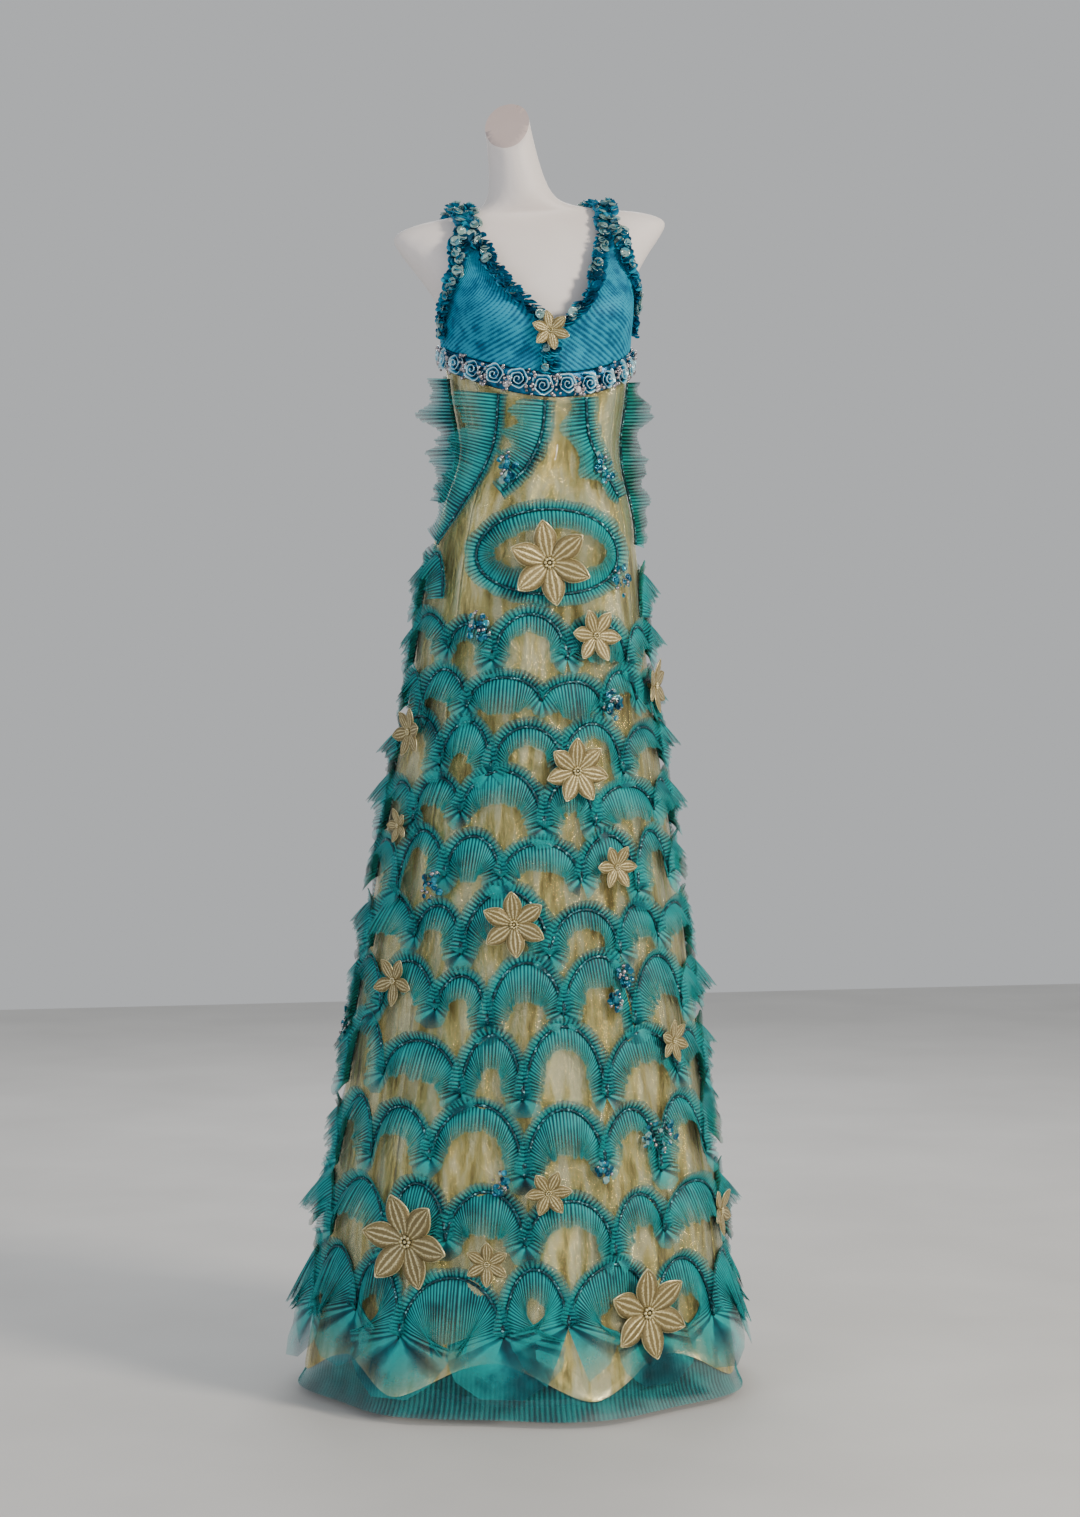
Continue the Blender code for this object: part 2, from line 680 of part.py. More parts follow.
def make_flower(name, centre, out, petal, petals, turn, finish, rise=PETAL_HEIGHT):
    """Flat flower of pointed petals on a short sewn centre that reaches to the cloth."""
    up = Vector((0, 0, 1))
    across = up.cross(out).normalized()
    up = out.cross(across).normalized()

    def place(angle, radius, height):
        return centre + (across * math.cos(angle) + up * math.sin(angle)) * radius + out * height

    rim = []
    stem = []
    wedge = 2 * math.pi / petals
    for k in range(petals):
        start = math.radians(turn) + k * wedge
        stem.append((start, FLOWER_FOOT * petal))
        rim += [(start, PETAL_NOTCH * petal),
                (start + SHOULDER_ANGLE * wedge, PETAL_SHOULDER * petal),
                (start + 0.5 * wedge, petal),
                (start + (1 - SHOULDER_ANGLE) * wedge, PETAL_SHOULDER * petal)]
    count = len(rim)
    top = [place(a, r, rise + PETAL_THICK + PETAL_LIFT * r) for a, r in rim]
    low = [place(a, r, rise + PETAL_LIFT * r) for a, r in rim]
    neck = [place(a, r, rise - PETAL_THICK) for a, r in stem]
    verts = top + low + neck + [place(0, 0, rise + CROWN_RISE), place(0, 0, 0)]
    crown, foot = len(verts) - 2, len(verts) - 1
    faces = []
    for i in range(count):
        j = (i + 1) % count
        faces += [(i, j, crown), (i, j, count + j, count + i)]
    for k in range(petals):
        here, there = 2 * count + k, 2 * count + (k + 1) % petals
        first = count + 4 * k
        last = count + (4 * k + 4) % count
        faces += [(here, first, first + 1), (here, first + 1, first + 2),
                  (here, first + 2, there), (there, first + 2, first + 3),
                  (there, first + 3, last), (here, there, foot)]
    return add_object(name, verts, faces, finish)


def make_round(name, radius, low, high, centre, finish):
    """Upright round bar or plate."""
    verts = []
    for height in (low, high):
        for k in range(ROUND_SIDES):
            turn = 2 * math.pi * k / ROUND_SIDES
            verts.append((centre[0] + radius * math.cos(turn),
                          centre[1] + radius * math.sin(turn), height))
    return add_object(name, verts, tube_faces(2, ROUND_SIDES), finish)


for old in list(bpy.data.objects):
    bpy.data.objects.remove(old)

gold = material("gold_lame", (0.55, 0.47, 0.24), 0.35, 0.6)
teal = material("teal_organza", (0.01, 0.22, 0.24), 0.6)
blue = material("turquoise_satin", (0.01, 0.28, 0.42), 0.4)
ribbon = material("blue_ribbon", (0.12, 0.5, 0.68), 0.3, 0.3)
bead_gold = material("beaded_flower", (0.62, 0.46, 0.25), 0.45, 0.3)
white = material("form_white", (0.82, 0.76, 0.72), 0.6)
steel = material("stand_steel", (0.6, 0.6, 0.6), 0.35, 0.8)

form = make_form(white)
make_round("stand_pole", POLE_RADIUS, BASE_THICK + SEAM_GAP, FORM_BOTTOM * MM - SEAM_GAP,
           POLE_CENTRE, steel)
make_round("stand_base", BASE_RADIUS, 0.0, BASE_THICK, (0, 0), steel)

skirt_tree = world_tree(make_skirt(gold))
make_hem(teal)
make_band(ribbon)
cups = [make_cup("cup_left", -1, blue), make_cup("cup_right", 1, blue)]
make_back("bodice_back_left", -1, blue)
make_back("bodice_back_right", 1, blue)
form_tree = world_tree([form])
make_strap("strap_left", -1, form_tree, blue)
make_strap("strap_right", 1, form_tree, blue)

cup_tree = world_tree(cups)
for side, word in ((-1, "left"), (1, "right")):
    for name, part, top, bottom in TRIMS:
        spots, points, facings = [], [], []
        for step in range(TRIM_STEPS + 1):
            level = top + (bottom - top) * step / TRIM_STEPS
            angle, height = cup_spot(side, part, level)
            lean = TRIM_LEAN + TRIM_WAVE * (step % 2 * 2 - 1)
            spots.append((angle, height, 1.0, lean))
            points.append(wall(angle, height, cup_out(angle, height)))
            facings.append(cup_facing(side, part, level))
        if (side > 0) == (name == "neck_trim"):
            spots, points, facings = spots[::-1], points[::-1], facings[::-1]
        frill(f"{name}_{word}", spots, points, facings, cup_tree, TRIM_WIDTH, blue, closed=False)

facing = outward(NECK_FLOWER["angle"], NECK_FLOWER["height"] * MM)
spot = wall(NECK_FLOWER["angle"], NECK_FLOWER["height"] * MM)
spot += facing * (SEAT_GAP - clearance(cup_tree, spot, facing))
make_flower("flower_neck", spot, facing, NECK_FLOWER["petal"] * MM, NECK_FLOWER["petals"],
            NECK_FLOWER["turn"], bead_gold, NECK_FLOWER["rise"] * MM)

paths = []
for row, (foot, rise, arches, turn) in enumerate(FRILL_ROWS):
    spots = arch_row(foot, rise, turn, arches, 360 / arches, row, True)
    paths.append((f"frill_row_{row + 1:02d}", FRILL_WIDTH, spots, True))
pitch = (BACK_ROW["end"] - BACK_ROW["start"]) / BACK_ROW["arches"]
spots = arch_row(BACK_ROW["foot"], BACK_ROW["rise"], BACK_ROW["start"], BACK_ROW["arches"],
                 pitch, len(FRILL_ROWS), False)
paths.append(("frill_row_back", FRILL_WIDTH, spots, False))
spots = []
for step in range(HIP_OVAL["steps"]):
    turn = 2 * math.pi * step / HIP_OVAL["steps"]
    angle = HIP_OVAL["angle"] + HIP_OVAL["half_angle"] * math.sin(turn)
    height = (HIP_OVAL["height"] - HIP_OVAL["half_height"] * math.cos(turn)) * MM
    spots.append((angle, height, 0.75, FRILL_LEAN + FRILL_WAVE * math.cos(4 * turn)))
paths.append(("frill_hip_oval", FRILL_WIDTH, spots, True))
for name, width, pairs in MIDRIFF_FRILLS:
    spots = [(angle, height * MM, 1.0, FRILL_LEAN + FRILL_WAVE * math.cos(2 * i))
             for i, (angle, height) in enumerate(curve_through(pairs, MIDRIFF_STEPS))]
    paths.append((name, width * MM, spots, False))

sewn = []
for name, width, spots, closed in paths:
    points = on_wall(spots)
    sewn += points + [a.lerp(b, 0.5) for a, b in zip(points, points[1:])]
flowers = []
for angle, height, petal, petals, turn in FLOWERS:
    angle, height = open_cloth(angle, height * MM, petal * MM, sewn)
    flowers.append((angle, height, petal * MM, petals, turn))
centres = [(wall(angle, height), petal) for angle, height, petal, _, _ in flowers]

for name, width, spots, closed in paths:
    points = on_wall(spots)
    pressed = [(angle, height, share * frill_share(point, centres), lean)
               for (angle, height, share, lean), point in zip(spots, points)]
    frill(name, pressed, points, facing_out(spots), skirt_tree, width, teal, closed)

for index, (angle, height, petal, petals, turn) in enumerate(flowers):
    facing = outward(angle, height)
    spot = wall(angle, height)
    spot += facing * (SEAT_GAP - clearance(skirt_tree, spot, facing))
    make_flower(f"flower_{index + 1:02d}", spot, facing, petal, petals, turn, bead_gold)
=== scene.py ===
"""Looks of an empire-line prom dress in gold lame and teal organza on a white dress form."""
import math
import random

import bmesh
import bpy
import numpy as np
from mathutils import Matrix, Vector


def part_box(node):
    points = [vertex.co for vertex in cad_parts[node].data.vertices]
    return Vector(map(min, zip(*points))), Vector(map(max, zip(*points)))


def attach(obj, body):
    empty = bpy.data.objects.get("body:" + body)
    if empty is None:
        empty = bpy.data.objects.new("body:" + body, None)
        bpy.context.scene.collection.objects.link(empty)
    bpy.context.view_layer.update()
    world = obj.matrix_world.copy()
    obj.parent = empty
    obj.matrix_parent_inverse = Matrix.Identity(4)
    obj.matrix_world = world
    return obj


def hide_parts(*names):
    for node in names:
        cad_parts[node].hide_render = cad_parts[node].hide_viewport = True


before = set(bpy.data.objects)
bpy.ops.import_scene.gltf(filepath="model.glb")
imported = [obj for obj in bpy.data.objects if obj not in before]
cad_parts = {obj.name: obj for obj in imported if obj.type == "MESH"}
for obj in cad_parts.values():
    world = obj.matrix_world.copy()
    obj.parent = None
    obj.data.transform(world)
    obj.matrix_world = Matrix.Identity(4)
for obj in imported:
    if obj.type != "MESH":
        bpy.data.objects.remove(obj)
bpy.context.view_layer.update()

# Camera at the height of the thighs, four metres off, a little to the dress's right-hand side.
# The front of the dress faces -Y, so it shows turned slightly to the picture's right.
CAMERA_AZIMUTH = -13
CAMERA_DISTANCE = 4.0
CAMERA_HEIGHT = 0.9
CAMERA_PITCH = 1.7
PHOTO_SIZE = (1080, 1517)
AXIS_PIXEL = 530
PIXELS_FOCAL = 3200
bpy.ops.object.select_all(action="DESELECT")
turn = math.radians(CAMERA_AZIMUTH)
place = (CAMERA_DISTANCE * math.sin(turn), -CAMERA_DISTANCE * math.cos(turn), CAMERA_HEIGHT)
bpy.ops.object.camera_add(location=place)
camera = bpy.context.object
side_turn = math.atan((PHOTO_SIZE[0] / 2 - AXIS_PIXEL) / PIXELS_FOCAL)
camera.rotation_euler = (math.radians(90 - CAMERA_PITCH), 0, turn - side_turn)
camera.data.sensor_fit = "VERTICAL"
camera.data.sensor_height = 36
camera.data.lens = PIXELS_FOCAL / PHOTO_SIZE[1] * 36
bpy.context.scene.camera = camera


# Plain pale studio: a wide floor, a soft key light from the front right, a weaker fill and a rim.
def linear(code):
    """Linear colour from an sRGB hex value."""
    parts = [int(code[i:i + 2], 16) / 255 for i in (1, 3, 5)]
    return tuple(p / 12.92 if p <= 0.04045 else ((p + 0.055) / 1.055) ** 2.4 for p in parts) + (1,)


def node(tree, kind, links=None, into=None, stops=(), **settings):
    """Add a shader node with its settings, its sockets' values or links, and the stops of a ramp.
    A node that is given as a link stands for its first output. Its own first goes into a socket.
    """
    made = tree.nodes.new(kind)
    for key, value in settings.items():
        setattr(made, key, value)
    for socket, value in (links or {}).items():
        if isinstance(value, bpy.types.Node):
            value = value.outputs[0]
        if isinstance(value, bpy.types.NodeSocket):
            tree.links.new(value, made.inputs[socket])
        else:
            made.inputs[socket].default_value = value
    for index, (position, code) in enumerate(stops):
        elements = made.color_ramp.elements
        element = elements[index] if index < 2 else elements.new(position)
        element.position = position
        element.color = linear(code)
    if into:
        tree.links.new(made.outputs[0], into)
    return made


def new_material(name, sockets):
    """Material, its tree, its Principled shader with these values, and the Object coordinates."""
    made = bpy.data.materials.new(name)
    made.use_nodes = True
    tree = made.node_tree
    shader = tree.nodes["Principled BSDF"]
    for socket, value in sockets.items():
        shader.inputs[socket].default_value = value
    return made, tree, shader, node(tree, "ShaderNodeTexCoord").outputs["Object"]


bpy.ops.mesh.primitive_plane_add(size=9, location=(0, 0, 0))
floor = bpy.context.object
floor.name = "studio_floor"
floor_paint, tree, shader, coords = new_material("matt_floor_paint", {"Roughness": 0.8})
cloud = node(tree, "ShaderNodeTexNoise", {"Vector": coords, "Scale": 3.0, "Detail": 3.0})
node(tree, "ShaderNodeValToRGB", {"Fac": cloud}, shader.inputs["Base Color"],
     [(0.3, "#C9C8C6"), (0.7, "#D2D1CF")])
floor.data.materials.append(floor_paint)
world = bpy.data.worlds.new("studio")
world.use_nodes = True
world.node_tree.nodes["Background"].inputs["Color"].default_value = linear("#D6D8DA")
world.node_tree.nodes["Background"].inputs["Strength"].default_value = 0.75
bpy.context.scene.world = world
# Each light: name, place, size in metres, power in watts, colour.
LIGHTS = [
    ("key", (2.1, -2.7, 2.6), 0.8, 125, "#FFF4E4"),
    ("fill", (-2.6, -2.4, 1.5), 1.8, 26, "#E4ECFF"),
    ("rim", (0.6, 2.6, 2.6), 1.6, 40, "#FFFFFF"),
]
LIGHT_AIM = Vector((0, 0, 0.85))
for name, place, size, power, colour in LIGHTS:
    bpy.ops.object.light_add(type="AREA", location=place)
    light = bpy.context.object
    light.name = name
    light.data.size = size
    light.data.energy = power
    light.data.color = linear(colour)[:3]
    light.rotation_euler = (LIGHT_AIM - Vector(place)).to_track_quat("-Z", "Y").to_euler()

# The dress form: a hollow moulding of white glass-fibre resin, sanded and sprayed matt, with no
# limbs, oval shoulder caps and a neck cut on a slant. Its surface is smoothed from the solid's.
FORM_SMOOTHING = 2
FORM_CAP_SIDES = 8
FORM_SHARP_ANGLE = 30
FLAT_ENOUGH = 0.02
FORM_CAP_MERGE = 0.0045
SOLID_MERGE = 0.00005


def new_piece(mesh):
    """Object in the scene that shows a mesh and has its name."""
    made = bpy.data.objects.new(mesh.name, mesh)
    bpy.context.collection.objects.link(made)
    return made


def copy_of(node_name, name):
    """Copy of a solid's mesh with its points merged, as a new piece."""
    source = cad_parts[node_name]
    work = bmesh.new()
    work.from_mesh(source.data)
    bmesh.ops.remove_doubles(work, verts=work.verts, dist=SOLID_MERGE)
    mesh = bpy.data.meshes.new(name)
    work.to_mesh(mesh)
    work.free()
    return new_piece(mesh)


def apply_modifiers(piece):
    """Apply every modifier of a piece."""
    bpy.ops.object.select_all(action="DESELECT")
    bpy.context.view_layer.objects.active = piece
    piece.select_set(True)
    for modifier in list(piece.modifiers):
        bpy.ops.object.modifier_apply(modifier=modifier.name)


form = copy_of("form_torso", "form_shell")
work = bmesh.new()
work.from_mesh(form.data)
flat_edges = [e for e in work.edges if len(e.link_faces) == 2 and e.calc_face_angle(0) < FLAT_ENOUGH]
bmesh.ops.dissolve_edges(work, edges=flat_edges, use_verts=False)
cap_points = {v for face in work.faces if len(face.verts) >= FORM_CAP_SIDES for v in face.verts}
bmesh.ops.remove_doubles(work, verts=list(cap_points), dist=FORM_CAP_MERGE)
creases = work.edges.layers.float.new("crease_edge")
for edge in work.edges:
    if max(len(face.verts) for face in edge.link_faces) >= FORM_CAP_SIDES:
        edge[creases] = 1.0
# The cap faces take the second material, which is painted darker as painted shade.
for face in work.faces:
    if len(face.verts) >= FORM_CAP_SIDES:
        face.material_index = 1
work.to_mesh(form.data)
work.free()
smoothing = form.modifiers.new("smooth", "SUBSURF")
smoothing.levels = smoothing.render_levels = FORM_SMOOTHING
apply_modifiers(form)
bpy.ops.object.shade_smooth_by_angle(angle=math.radians(FORM_SHARP_ANGLE))
form_paint, tree, shader, coords = new_material("matt_sprayed_resin", {"Roughness": 0.55})
cloud = node(tree, "ShaderNodeTexNoise", {"Vector": coords, "Scale": 9.0, "Detail": 4.0})
grain = node(tree, "ShaderNodeTexNoise", {"Vector": coords, "Scale": 900.0, "Detail": 2.0})
node(tree, "ShaderNodeValToRGB", {"Fac": cloud}, shader.inputs["Base Color"],
     [(0.3, "#EBE1DB"), (0.7, "#F3EBE6")])
node(tree, "ShaderNodeBump", {"Height": grain, "Strength": 0.12, "Distance": 0.0004},
     shader.inputs["Normal"])
form.data.materials.append(form_paint)
# The cut ends are closed with flat plates of resin, painted darker as painted shade and a little
# pinker.
painted_shade_plate, tree, shader, coords = new_material("resin_plate_with_painted_shade", {"Roughness": 0.65})
cloud = node(tree, "ShaderNodeTexNoise", {"Vector": coords, "Scale": 14.0, "Detail": 4.0})
node(tree, "ShaderNodeValToRGB", {"Fac": cloud}, shader.inputs["Base Color"],
     [(0.3, "#C6B3AD"), (0.7, "#D0BEB8")])
form.data.materials.append(painted_shade_plate)
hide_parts("form_torso")
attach(form, "root")

# The stand: a steel tube and a turned round plate, both brushed and clear lacquered. They are
# hidden by the skirt from most sides and keep the solids' own shape.
stand_steel, tree, shader, coords = new_material(
    "brushed_lacquered_steel", {"Metallic": 1.0, "Roughness": 0.34})
brush = node(tree, "ShaderNodeMapping", {"Vector": coords, "Scale": (40.0, 40.0, 900.0)})
lines = node(tree, "ShaderNodeTexNoise", {"Vector": brush, "Scale": 2.0, "Detail": 3.0})
node(tree, "ShaderNodeValToRGB", {"Fac": lines}, shader.inputs["Base Color"],
     [(0.3, "#9EA0A2"), (0.7, "#B9BBBD")])
node(tree, "ShaderNodeBump", {"Height": lines, "Strength": 0.2, "Distance": 0.0003},
     shader.inputs["Normal"])
for name in ("stand_pole", "stand_base"):
    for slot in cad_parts[name].material_slots:
        slot.material = stand_steel

# Skirt and midriff: gold lame, a thin cloth of metal thread on a silk ground, cut in four panels
# from hem to underbust. The body line, hem flutes and creases are given in millimetres.
MM = 0.001
SECTION_COLUMNS = ("height", "half_width", "half_depth", "centre_x", "centre_y", "squareness")
SECTIONS = [
    (0, 270, 262, -8, 6, 2.0), (106, 254, 242, -7, 6, 2.0), (231, 243, 226, -6, 6, 2.0),
    (356, 226, 206, -5, 6, 2.0), (481, 210, 188, -4, 7, 2.0), (606, 192, 170, -2, 8, 2.0),
    (731, 173, 152, 0, 10, 2.0), (856, 152, 134, 3, 12, 2.0), (981, 137, 120, 5, 9, 2.0),
    (1075, 122, 104, 8, 3, 2.0), (1162, 101, 85, 11, 0, 2.0), (1240, 111, 90, 9, 0, 2.0),
    (1290, 116, 94, 8, 1, 2.0), (1340, 120, 94, 6, 3, 2.1), (1380, 139, 82, 3, 6, 2.2),
    (1415, 166, 66, 2, 8, 2.3), (1438, 181, 51, 3, 9, 2.3), (1450, 172, 41, 2, 9, 2.3),
]
# Each flute of the hem: angle, depth and spread in degrees.
FLUTES = [(-88, 20, 17), (-46, 24, 17), (5, 23, 18), (54, 22, 17),
          (100, 19, 17), (146, 23, 17), (190, 21, 18), (232, 22, 17)]
FLUTE_TOP = 520 * MM
FLUTE_MEAN_DEPTH = 8 * MM
TILT_START = 1230 * MM
TILT_FULL = 1420 * MM
TILT_SLOPE = 0.085
# Each soft fold: angle at the top and at the foot, top and foot heights, depth and half width.
FOLDS = [
    (-30, -34, 900, 60, 4.0, 5), (-12, -20, 760, 30, 5.0, 6), (18, 20, 940, 40, 4.5, 5),
    (34, 36, 640, 30, 6.0, 6), (-62, -68, 820, 40, 5.0, 6), (74, 78, 700, 30, 5.0, 6),
    (118, 124, 880, 40, 4.0, 6), (164, 168, 900, 30, 5.5, 6), (210, 212, 760, 30, 5.0, 7),
    (252, 248, 880, 40, 4.5, 6), (-8, -46, 1215, 1080, 3.0, 5), (10, -14, 1215, 1075, 3.5, 4),
    (6, 40, 1190, 1085, 2.5, 4), (-60, -28, 1110, 1088, 2.2, 6), (58, 26, 1106, 1086, 2.2, 6),
    (150, 168, 1220, 1090, 2.5, 5), (206, 190, 1220, 1090, 2.5, 5),
]
# Each panel: the solid it takes the place of, and the angles of its two seams.
PANELS = [("skirt_front", -52.5, 52.5), ("skirt_right", 52.5, 127.5),
          ("skirt_back", 127.5, 232.5), ("skirt_left", 232.5, 307.5)]
SEAM_GAP = 0.3 * MM
HEM_HEIGHT = 30 * MM
HEM_LOBE = 52 * MM
HEM_LOBE_POWER = 0.8
BAND_HEIGHT = 30 * MM
BAND_SIDE = 1286 * MM
BAND_FRONT_DIP = 46 * MM
LAME_THICK = 0.5 * MM


def section(height):
    """Section of the body line at a height in millimetres."""
    rows = SECTIONS
    index = max(i for i in range(len(rows) - 1) if rows[i][0] <= height)
    low, high = rows[index], rows[index + 1]
    before = rows[max(index - 1, 0)]
    after = rows[min(index + 2, len(rows) - 1)]
    span = high[0] - low[0]
    t = (height - low[0]) / span
    values = []
    for column in range(1, len(SECTION_COLUMNS)):
        start = (high[column] - before[column]) / (high[0] - before[0]) * span
        end = (after[column] - low[column]) / (after[0] - low[0]) * span
        values.append((2 * t**3 - 3 * t**2 + 1) * low[column] + (t**3 - 2 * t**2 + t) * start
                      + (3 * t**2 - 2 * t**3) * high[column] + (t**3 - t**2) * end)
    return values


SECTION_HEIGHTS = np.arange(0, SECTIONS[-1][0] + 1)
SECTION_VALUES = np.array([section(height) for height in SECTION_HEIGHTS])


def smooth(value):
    """Ease from 0 to 1."""
    value = np.clip(value, 0.0, 1.0)
    return value * value * (3 - 2 * value)


def sections(height):
    """Columns of the body line's sections at heights in metres."""
    return [np.interp(height / MM, SECTION_HEIGHTS, SECTION_VALUES[:, k]) for k in range(5)]


def turn_away(angle, centre):
    """Difference of two angles in degrees, within half a turn."""
    return (angle - centre + 180) % 360 - 180


def flute(angle, height):
    """How far the hem's flutes stand out at an angle in degrees and a height in metres."""
    total = -FLUTE_MEAN_DEPTH
    for centre, depth, spread in FLUTES:
        total = total + depth * MM * np.exp(-(turn_away(angle, centre) / spread) ** 2)
    return total * smooth(1 - height / FLUTE_TOP)


def unit(vectors):
    """Vectors of an array at length 1."""
    return vectors / np.maximum(np.linalg.norm(vectors, axis=-1, keepdims=True), 1e-12)


def outward(angle, height):
    """Level directions out of the cloth."""
    half_width, half_depth = sections(height)[:2]
    turn = np.radians(angle)
    return unit(np.stack([np.sin(turn) / half_width, -np.cos(turn) / half_depth, 0 * turn], axis=-1))


def wall(angle, height, out=0.0):
    """Points of the body line, moved out. Angles in degrees, heights and out in metres."""
    angle, height, out = np.broadcast_arrays(np.asarray(angle, float), np.asarray(height, float),
                                             np.asarray(out, float))
    half_width, half_depth, centre_x, centre_y, squareness = sections(height)
    turn = np.radians(angle)
    across, ahead = np.sin(turn), np.cos(turn)
    x = centre_x + half_width * np.sign(across) * np.abs(across) ** (2 / squareness)
    y = centre_y - half_depth * np.sign(ahead) * np.abs(ahead) ** (2 / squareness)
    points = np.stack([x * MM, y * MM, height], axis=-1)
    points = points + outward(angle, height) * (out + flute(angle, height))[..., None]
    slope = TILT_SLOPE * smooth((points[..., 2] - TILT_START) / (TILT_FULL - TILT_START))
    points[..., 2] += points[..., 0] * slope
    return points


def band_middle(angle):
    """Height of the middle of the underbust band."""
    return BAND_SIDE - BAND_FRONT_DIP * ((1 + np.cos(np.radians(angle))) / 2) ** 2.5


def fold(angle, height):
    """Depth of the soft folds at a place, in metres: a trough with a ridge on each side."""
    total = 0.0
    for top_angle, foot_angle, top, foot, depth, width in FOLDS:
        along = (top * MM - height) / ((top - foot) * MM)
        centre = top_angle + (foot_angle - top_angle) * along + 2.0 * np.sin(9 * along + top_angle)
        away = turn_away(angle, centre) / width
        fade = smooth(along / 0.35) * smooth((1.05 - along) / 0.12)
        total = total - depth * MM * fade * (1 - 1.6 * away * away) * np.exp(-away * away)
    return total


def grid_piece(name, points, finish, thick=0.0, closed=False, layers=None):
    """Cloth from a grid of points, given its thickness, as a new piece."""
    rows, columns = points.shape[:2]
    here = np.arange(rows * columns).reshape(rows, columns)
    if closed:
        here = np.concatenate([here, here[:, :1]], axis=1)
    faces = np.stack([here[:-1, :-1], here[:-1, 1:], here[1:, 1:], here[1:, :-1]], axis=-1)
    mesh = bpy.data.meshes.new(name)
    mesh.from_pydata(points.reshape(-1, 3).tolist(), [], faces.reshape(-1, 4).tolist())
    for label, values in (layers or {}).items():
        layer = mesh.attributes.new(label, "FLOAT", "POINT")
        layer.data.foreach_set("value", np.broadcast_to(values, (rows, columns)).ravel())
    mesh.materials.append(finish)
    mesh.shade_smooth()
    made = new_piece(mesh)
    if thick:
        shell = made.modifiers.new("thickness", "SOLIDIFY")
        shell.thickness = thick
        shell.offset = -1
        apply_modifiers(made)
    return made


lame, tree, shader, coords = new_material(
    "gold_lame_metal_thread_cloth", {"Metallic": 0.78, "Roughness": 0.2, "Sheen Weight": 0.2})
# Metal thread lies flat, so it shines in streaks; threads of 0.3 mm are drawn at 1.2 mm to show.
# At scale 1 the wave texture repeats every 314 mm.
THREAD = 1.2 * MM
WAVE_AT_SCALE_ONE = 0.314
streaks = node(tree, "ShaderNodeMapping", {"Vector": coords, "Scale": (60.0, 60.0, 9.0)})
streak = node(tree, "ShaderNodeTexNoise",
              {"Vector": streaks, "Scale": 1.0, "Detail": 5.0, "Roughness": 0.6})
crush = node(tree, "ShaderNodeTexNoise",
             {"Vector": coords, "Scale": 38.0, "Detail": 3.0, "Distortion": 1.2})
weave = node(tree, "ShaderNodeTexWave", {"Vector": coords, "Scale": WAVE_AT_SCALE_ONE / THREAD,
                                         "Distortion": 0.6, "Detail": 1.0}, bands_direction="Z")
# Painted highlights and painted shade: the streaks run from dark olive to near white in the colour, and
# also bump the cloth.
node(tree, "ShaderNodeValToRGB", {"Fac": streak}, shader.inputs["Base Color"],
     [(0.3, "#94844A"), (0.45, "#EBDA8C"), (0.58, "#FFF8C6")])
heights = node(tree, "ShaderNodeMath", {0: streak, 1: 0.7, 2: crush}, operation="MULTIPLY_ADD")
mixed = node(tree, "ShaderNodeMath", {0: weave.outputs["Fac"], 1: 0.12, 2: heights},
             operation="MULTIPLY_ADD")
node(tree, "ShaderNodeBump", {"Height": mixed, "Strength": 0.8, "Distance": 0.006},
     shader.inputs["Normal"])

PANEL_STEP = 1.25
PANEL_ROWS = 96
for name, start, end in PANELS:
    columns = round((end - start) / PANEL_STEP) + 1
    angle = np.broadcast_to(np.linspace(start, end, columns), (PANEL_ROWS, columns)).copy()
    top = band_middle(angle) - BAND_HEIGHT / 2 - SEAM_GAP
    lobes = sum(np.exp(-(turn_away(angle, centre) / spread) ** 2) for centre, _, spread in FLUTES)
    hem_edge = HEM_HEIGHT + HEM_LOBE * (1 - np.minimum(1, lobes)) ** HEM_LOBE_POWER
    height = hem_edge + (top - hem_edge) * np.linspace(0, 1, PANEL_ROWS)[:, None]
    half_gap = np.degrees(SEAM_GAP / 2 / (sections(height)[0] * MM))
    angle[:, 0] += half_gap[:, 0]
    angle[:, -1] -= half_gap[:, -1]
    panel = grid_piece("gold_" + name, wall(angle, height, fold(angle, height)), lame, LAME_THICK)
    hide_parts(name)
    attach(panel, "root")

# Frills of the skirt: crisp teal organza, so thin that gold shows through, gathered in pleats of
# about 4 mm onto a dark glittering braid. Each row of arches hangs down from its braid, longest
# at the crowns, and a short ruffle stands up on the other side. Rows overlap like scales.
# Each row: height of its feet, rise of its crowns, number of arches, turn in degrees.
FRILL_ROWS = [
    (905, 46, 11, 6), (843, 46, 12, 20), (777, 50, 12, 4), (707, 54, 13, 19), (633, 57, 14, 7),
    (555, 61, 14, 20), (473, 64, 15, 3), (387, 67, 14, 16), (297, 70, 15, 9), (203, 73, 16, 12),
    (106, 75, 16, 2),
]
BACK_ROW = {"foot": 968, "rise": 60, "arches": 8, "start": 62, "end": 298}
ARCH_SAMPLES = 48
FRILL_PLEAT = 4.4 * MM
PLEAT_COLUMNS = 4
FRILL_AT_FOOT = 21 * MM
FRILL_AT_CROWN = 31 * MM
HEM_ROW_AT_FOOT = 60 * MM
HEM_ROW_AT_CROWN = 44 * MM
HEM_ROW_STAND = 0.65
FRILL_VARIES = (0.6, 1.7)
FRILL_FAN = 35
FRILL_STAND_FRONT = 0.2
FRILL_STAND_SIDE = 0.6
FRILL_HANG = 0.97
FOOT_SHIFT = 12
CROWN_VARIES = 0.2
PLEAT_DEPTH = 2.2 * MM
RUFFLE_WIDTH = 15 * MM
RUFFLE_STAND = -0.6
RUFFLE_PLEAT_DEPTH = 1.0 * MM
WOBBLE_LENGTH = 7 * MM
BRAID_RADIUS = 2.1 * MM
BRAID_SIDES = 6
BRAID_OFF = 1.3 * BRAID_RADIUS
BRAID_BUMPS = 0.16
ORGANZA_OFF = 1.2 * MM
FLOWER_COUNT = 19
FLOWER_PRESSED = 0.42
FLOWER_REACH = 26 * MM

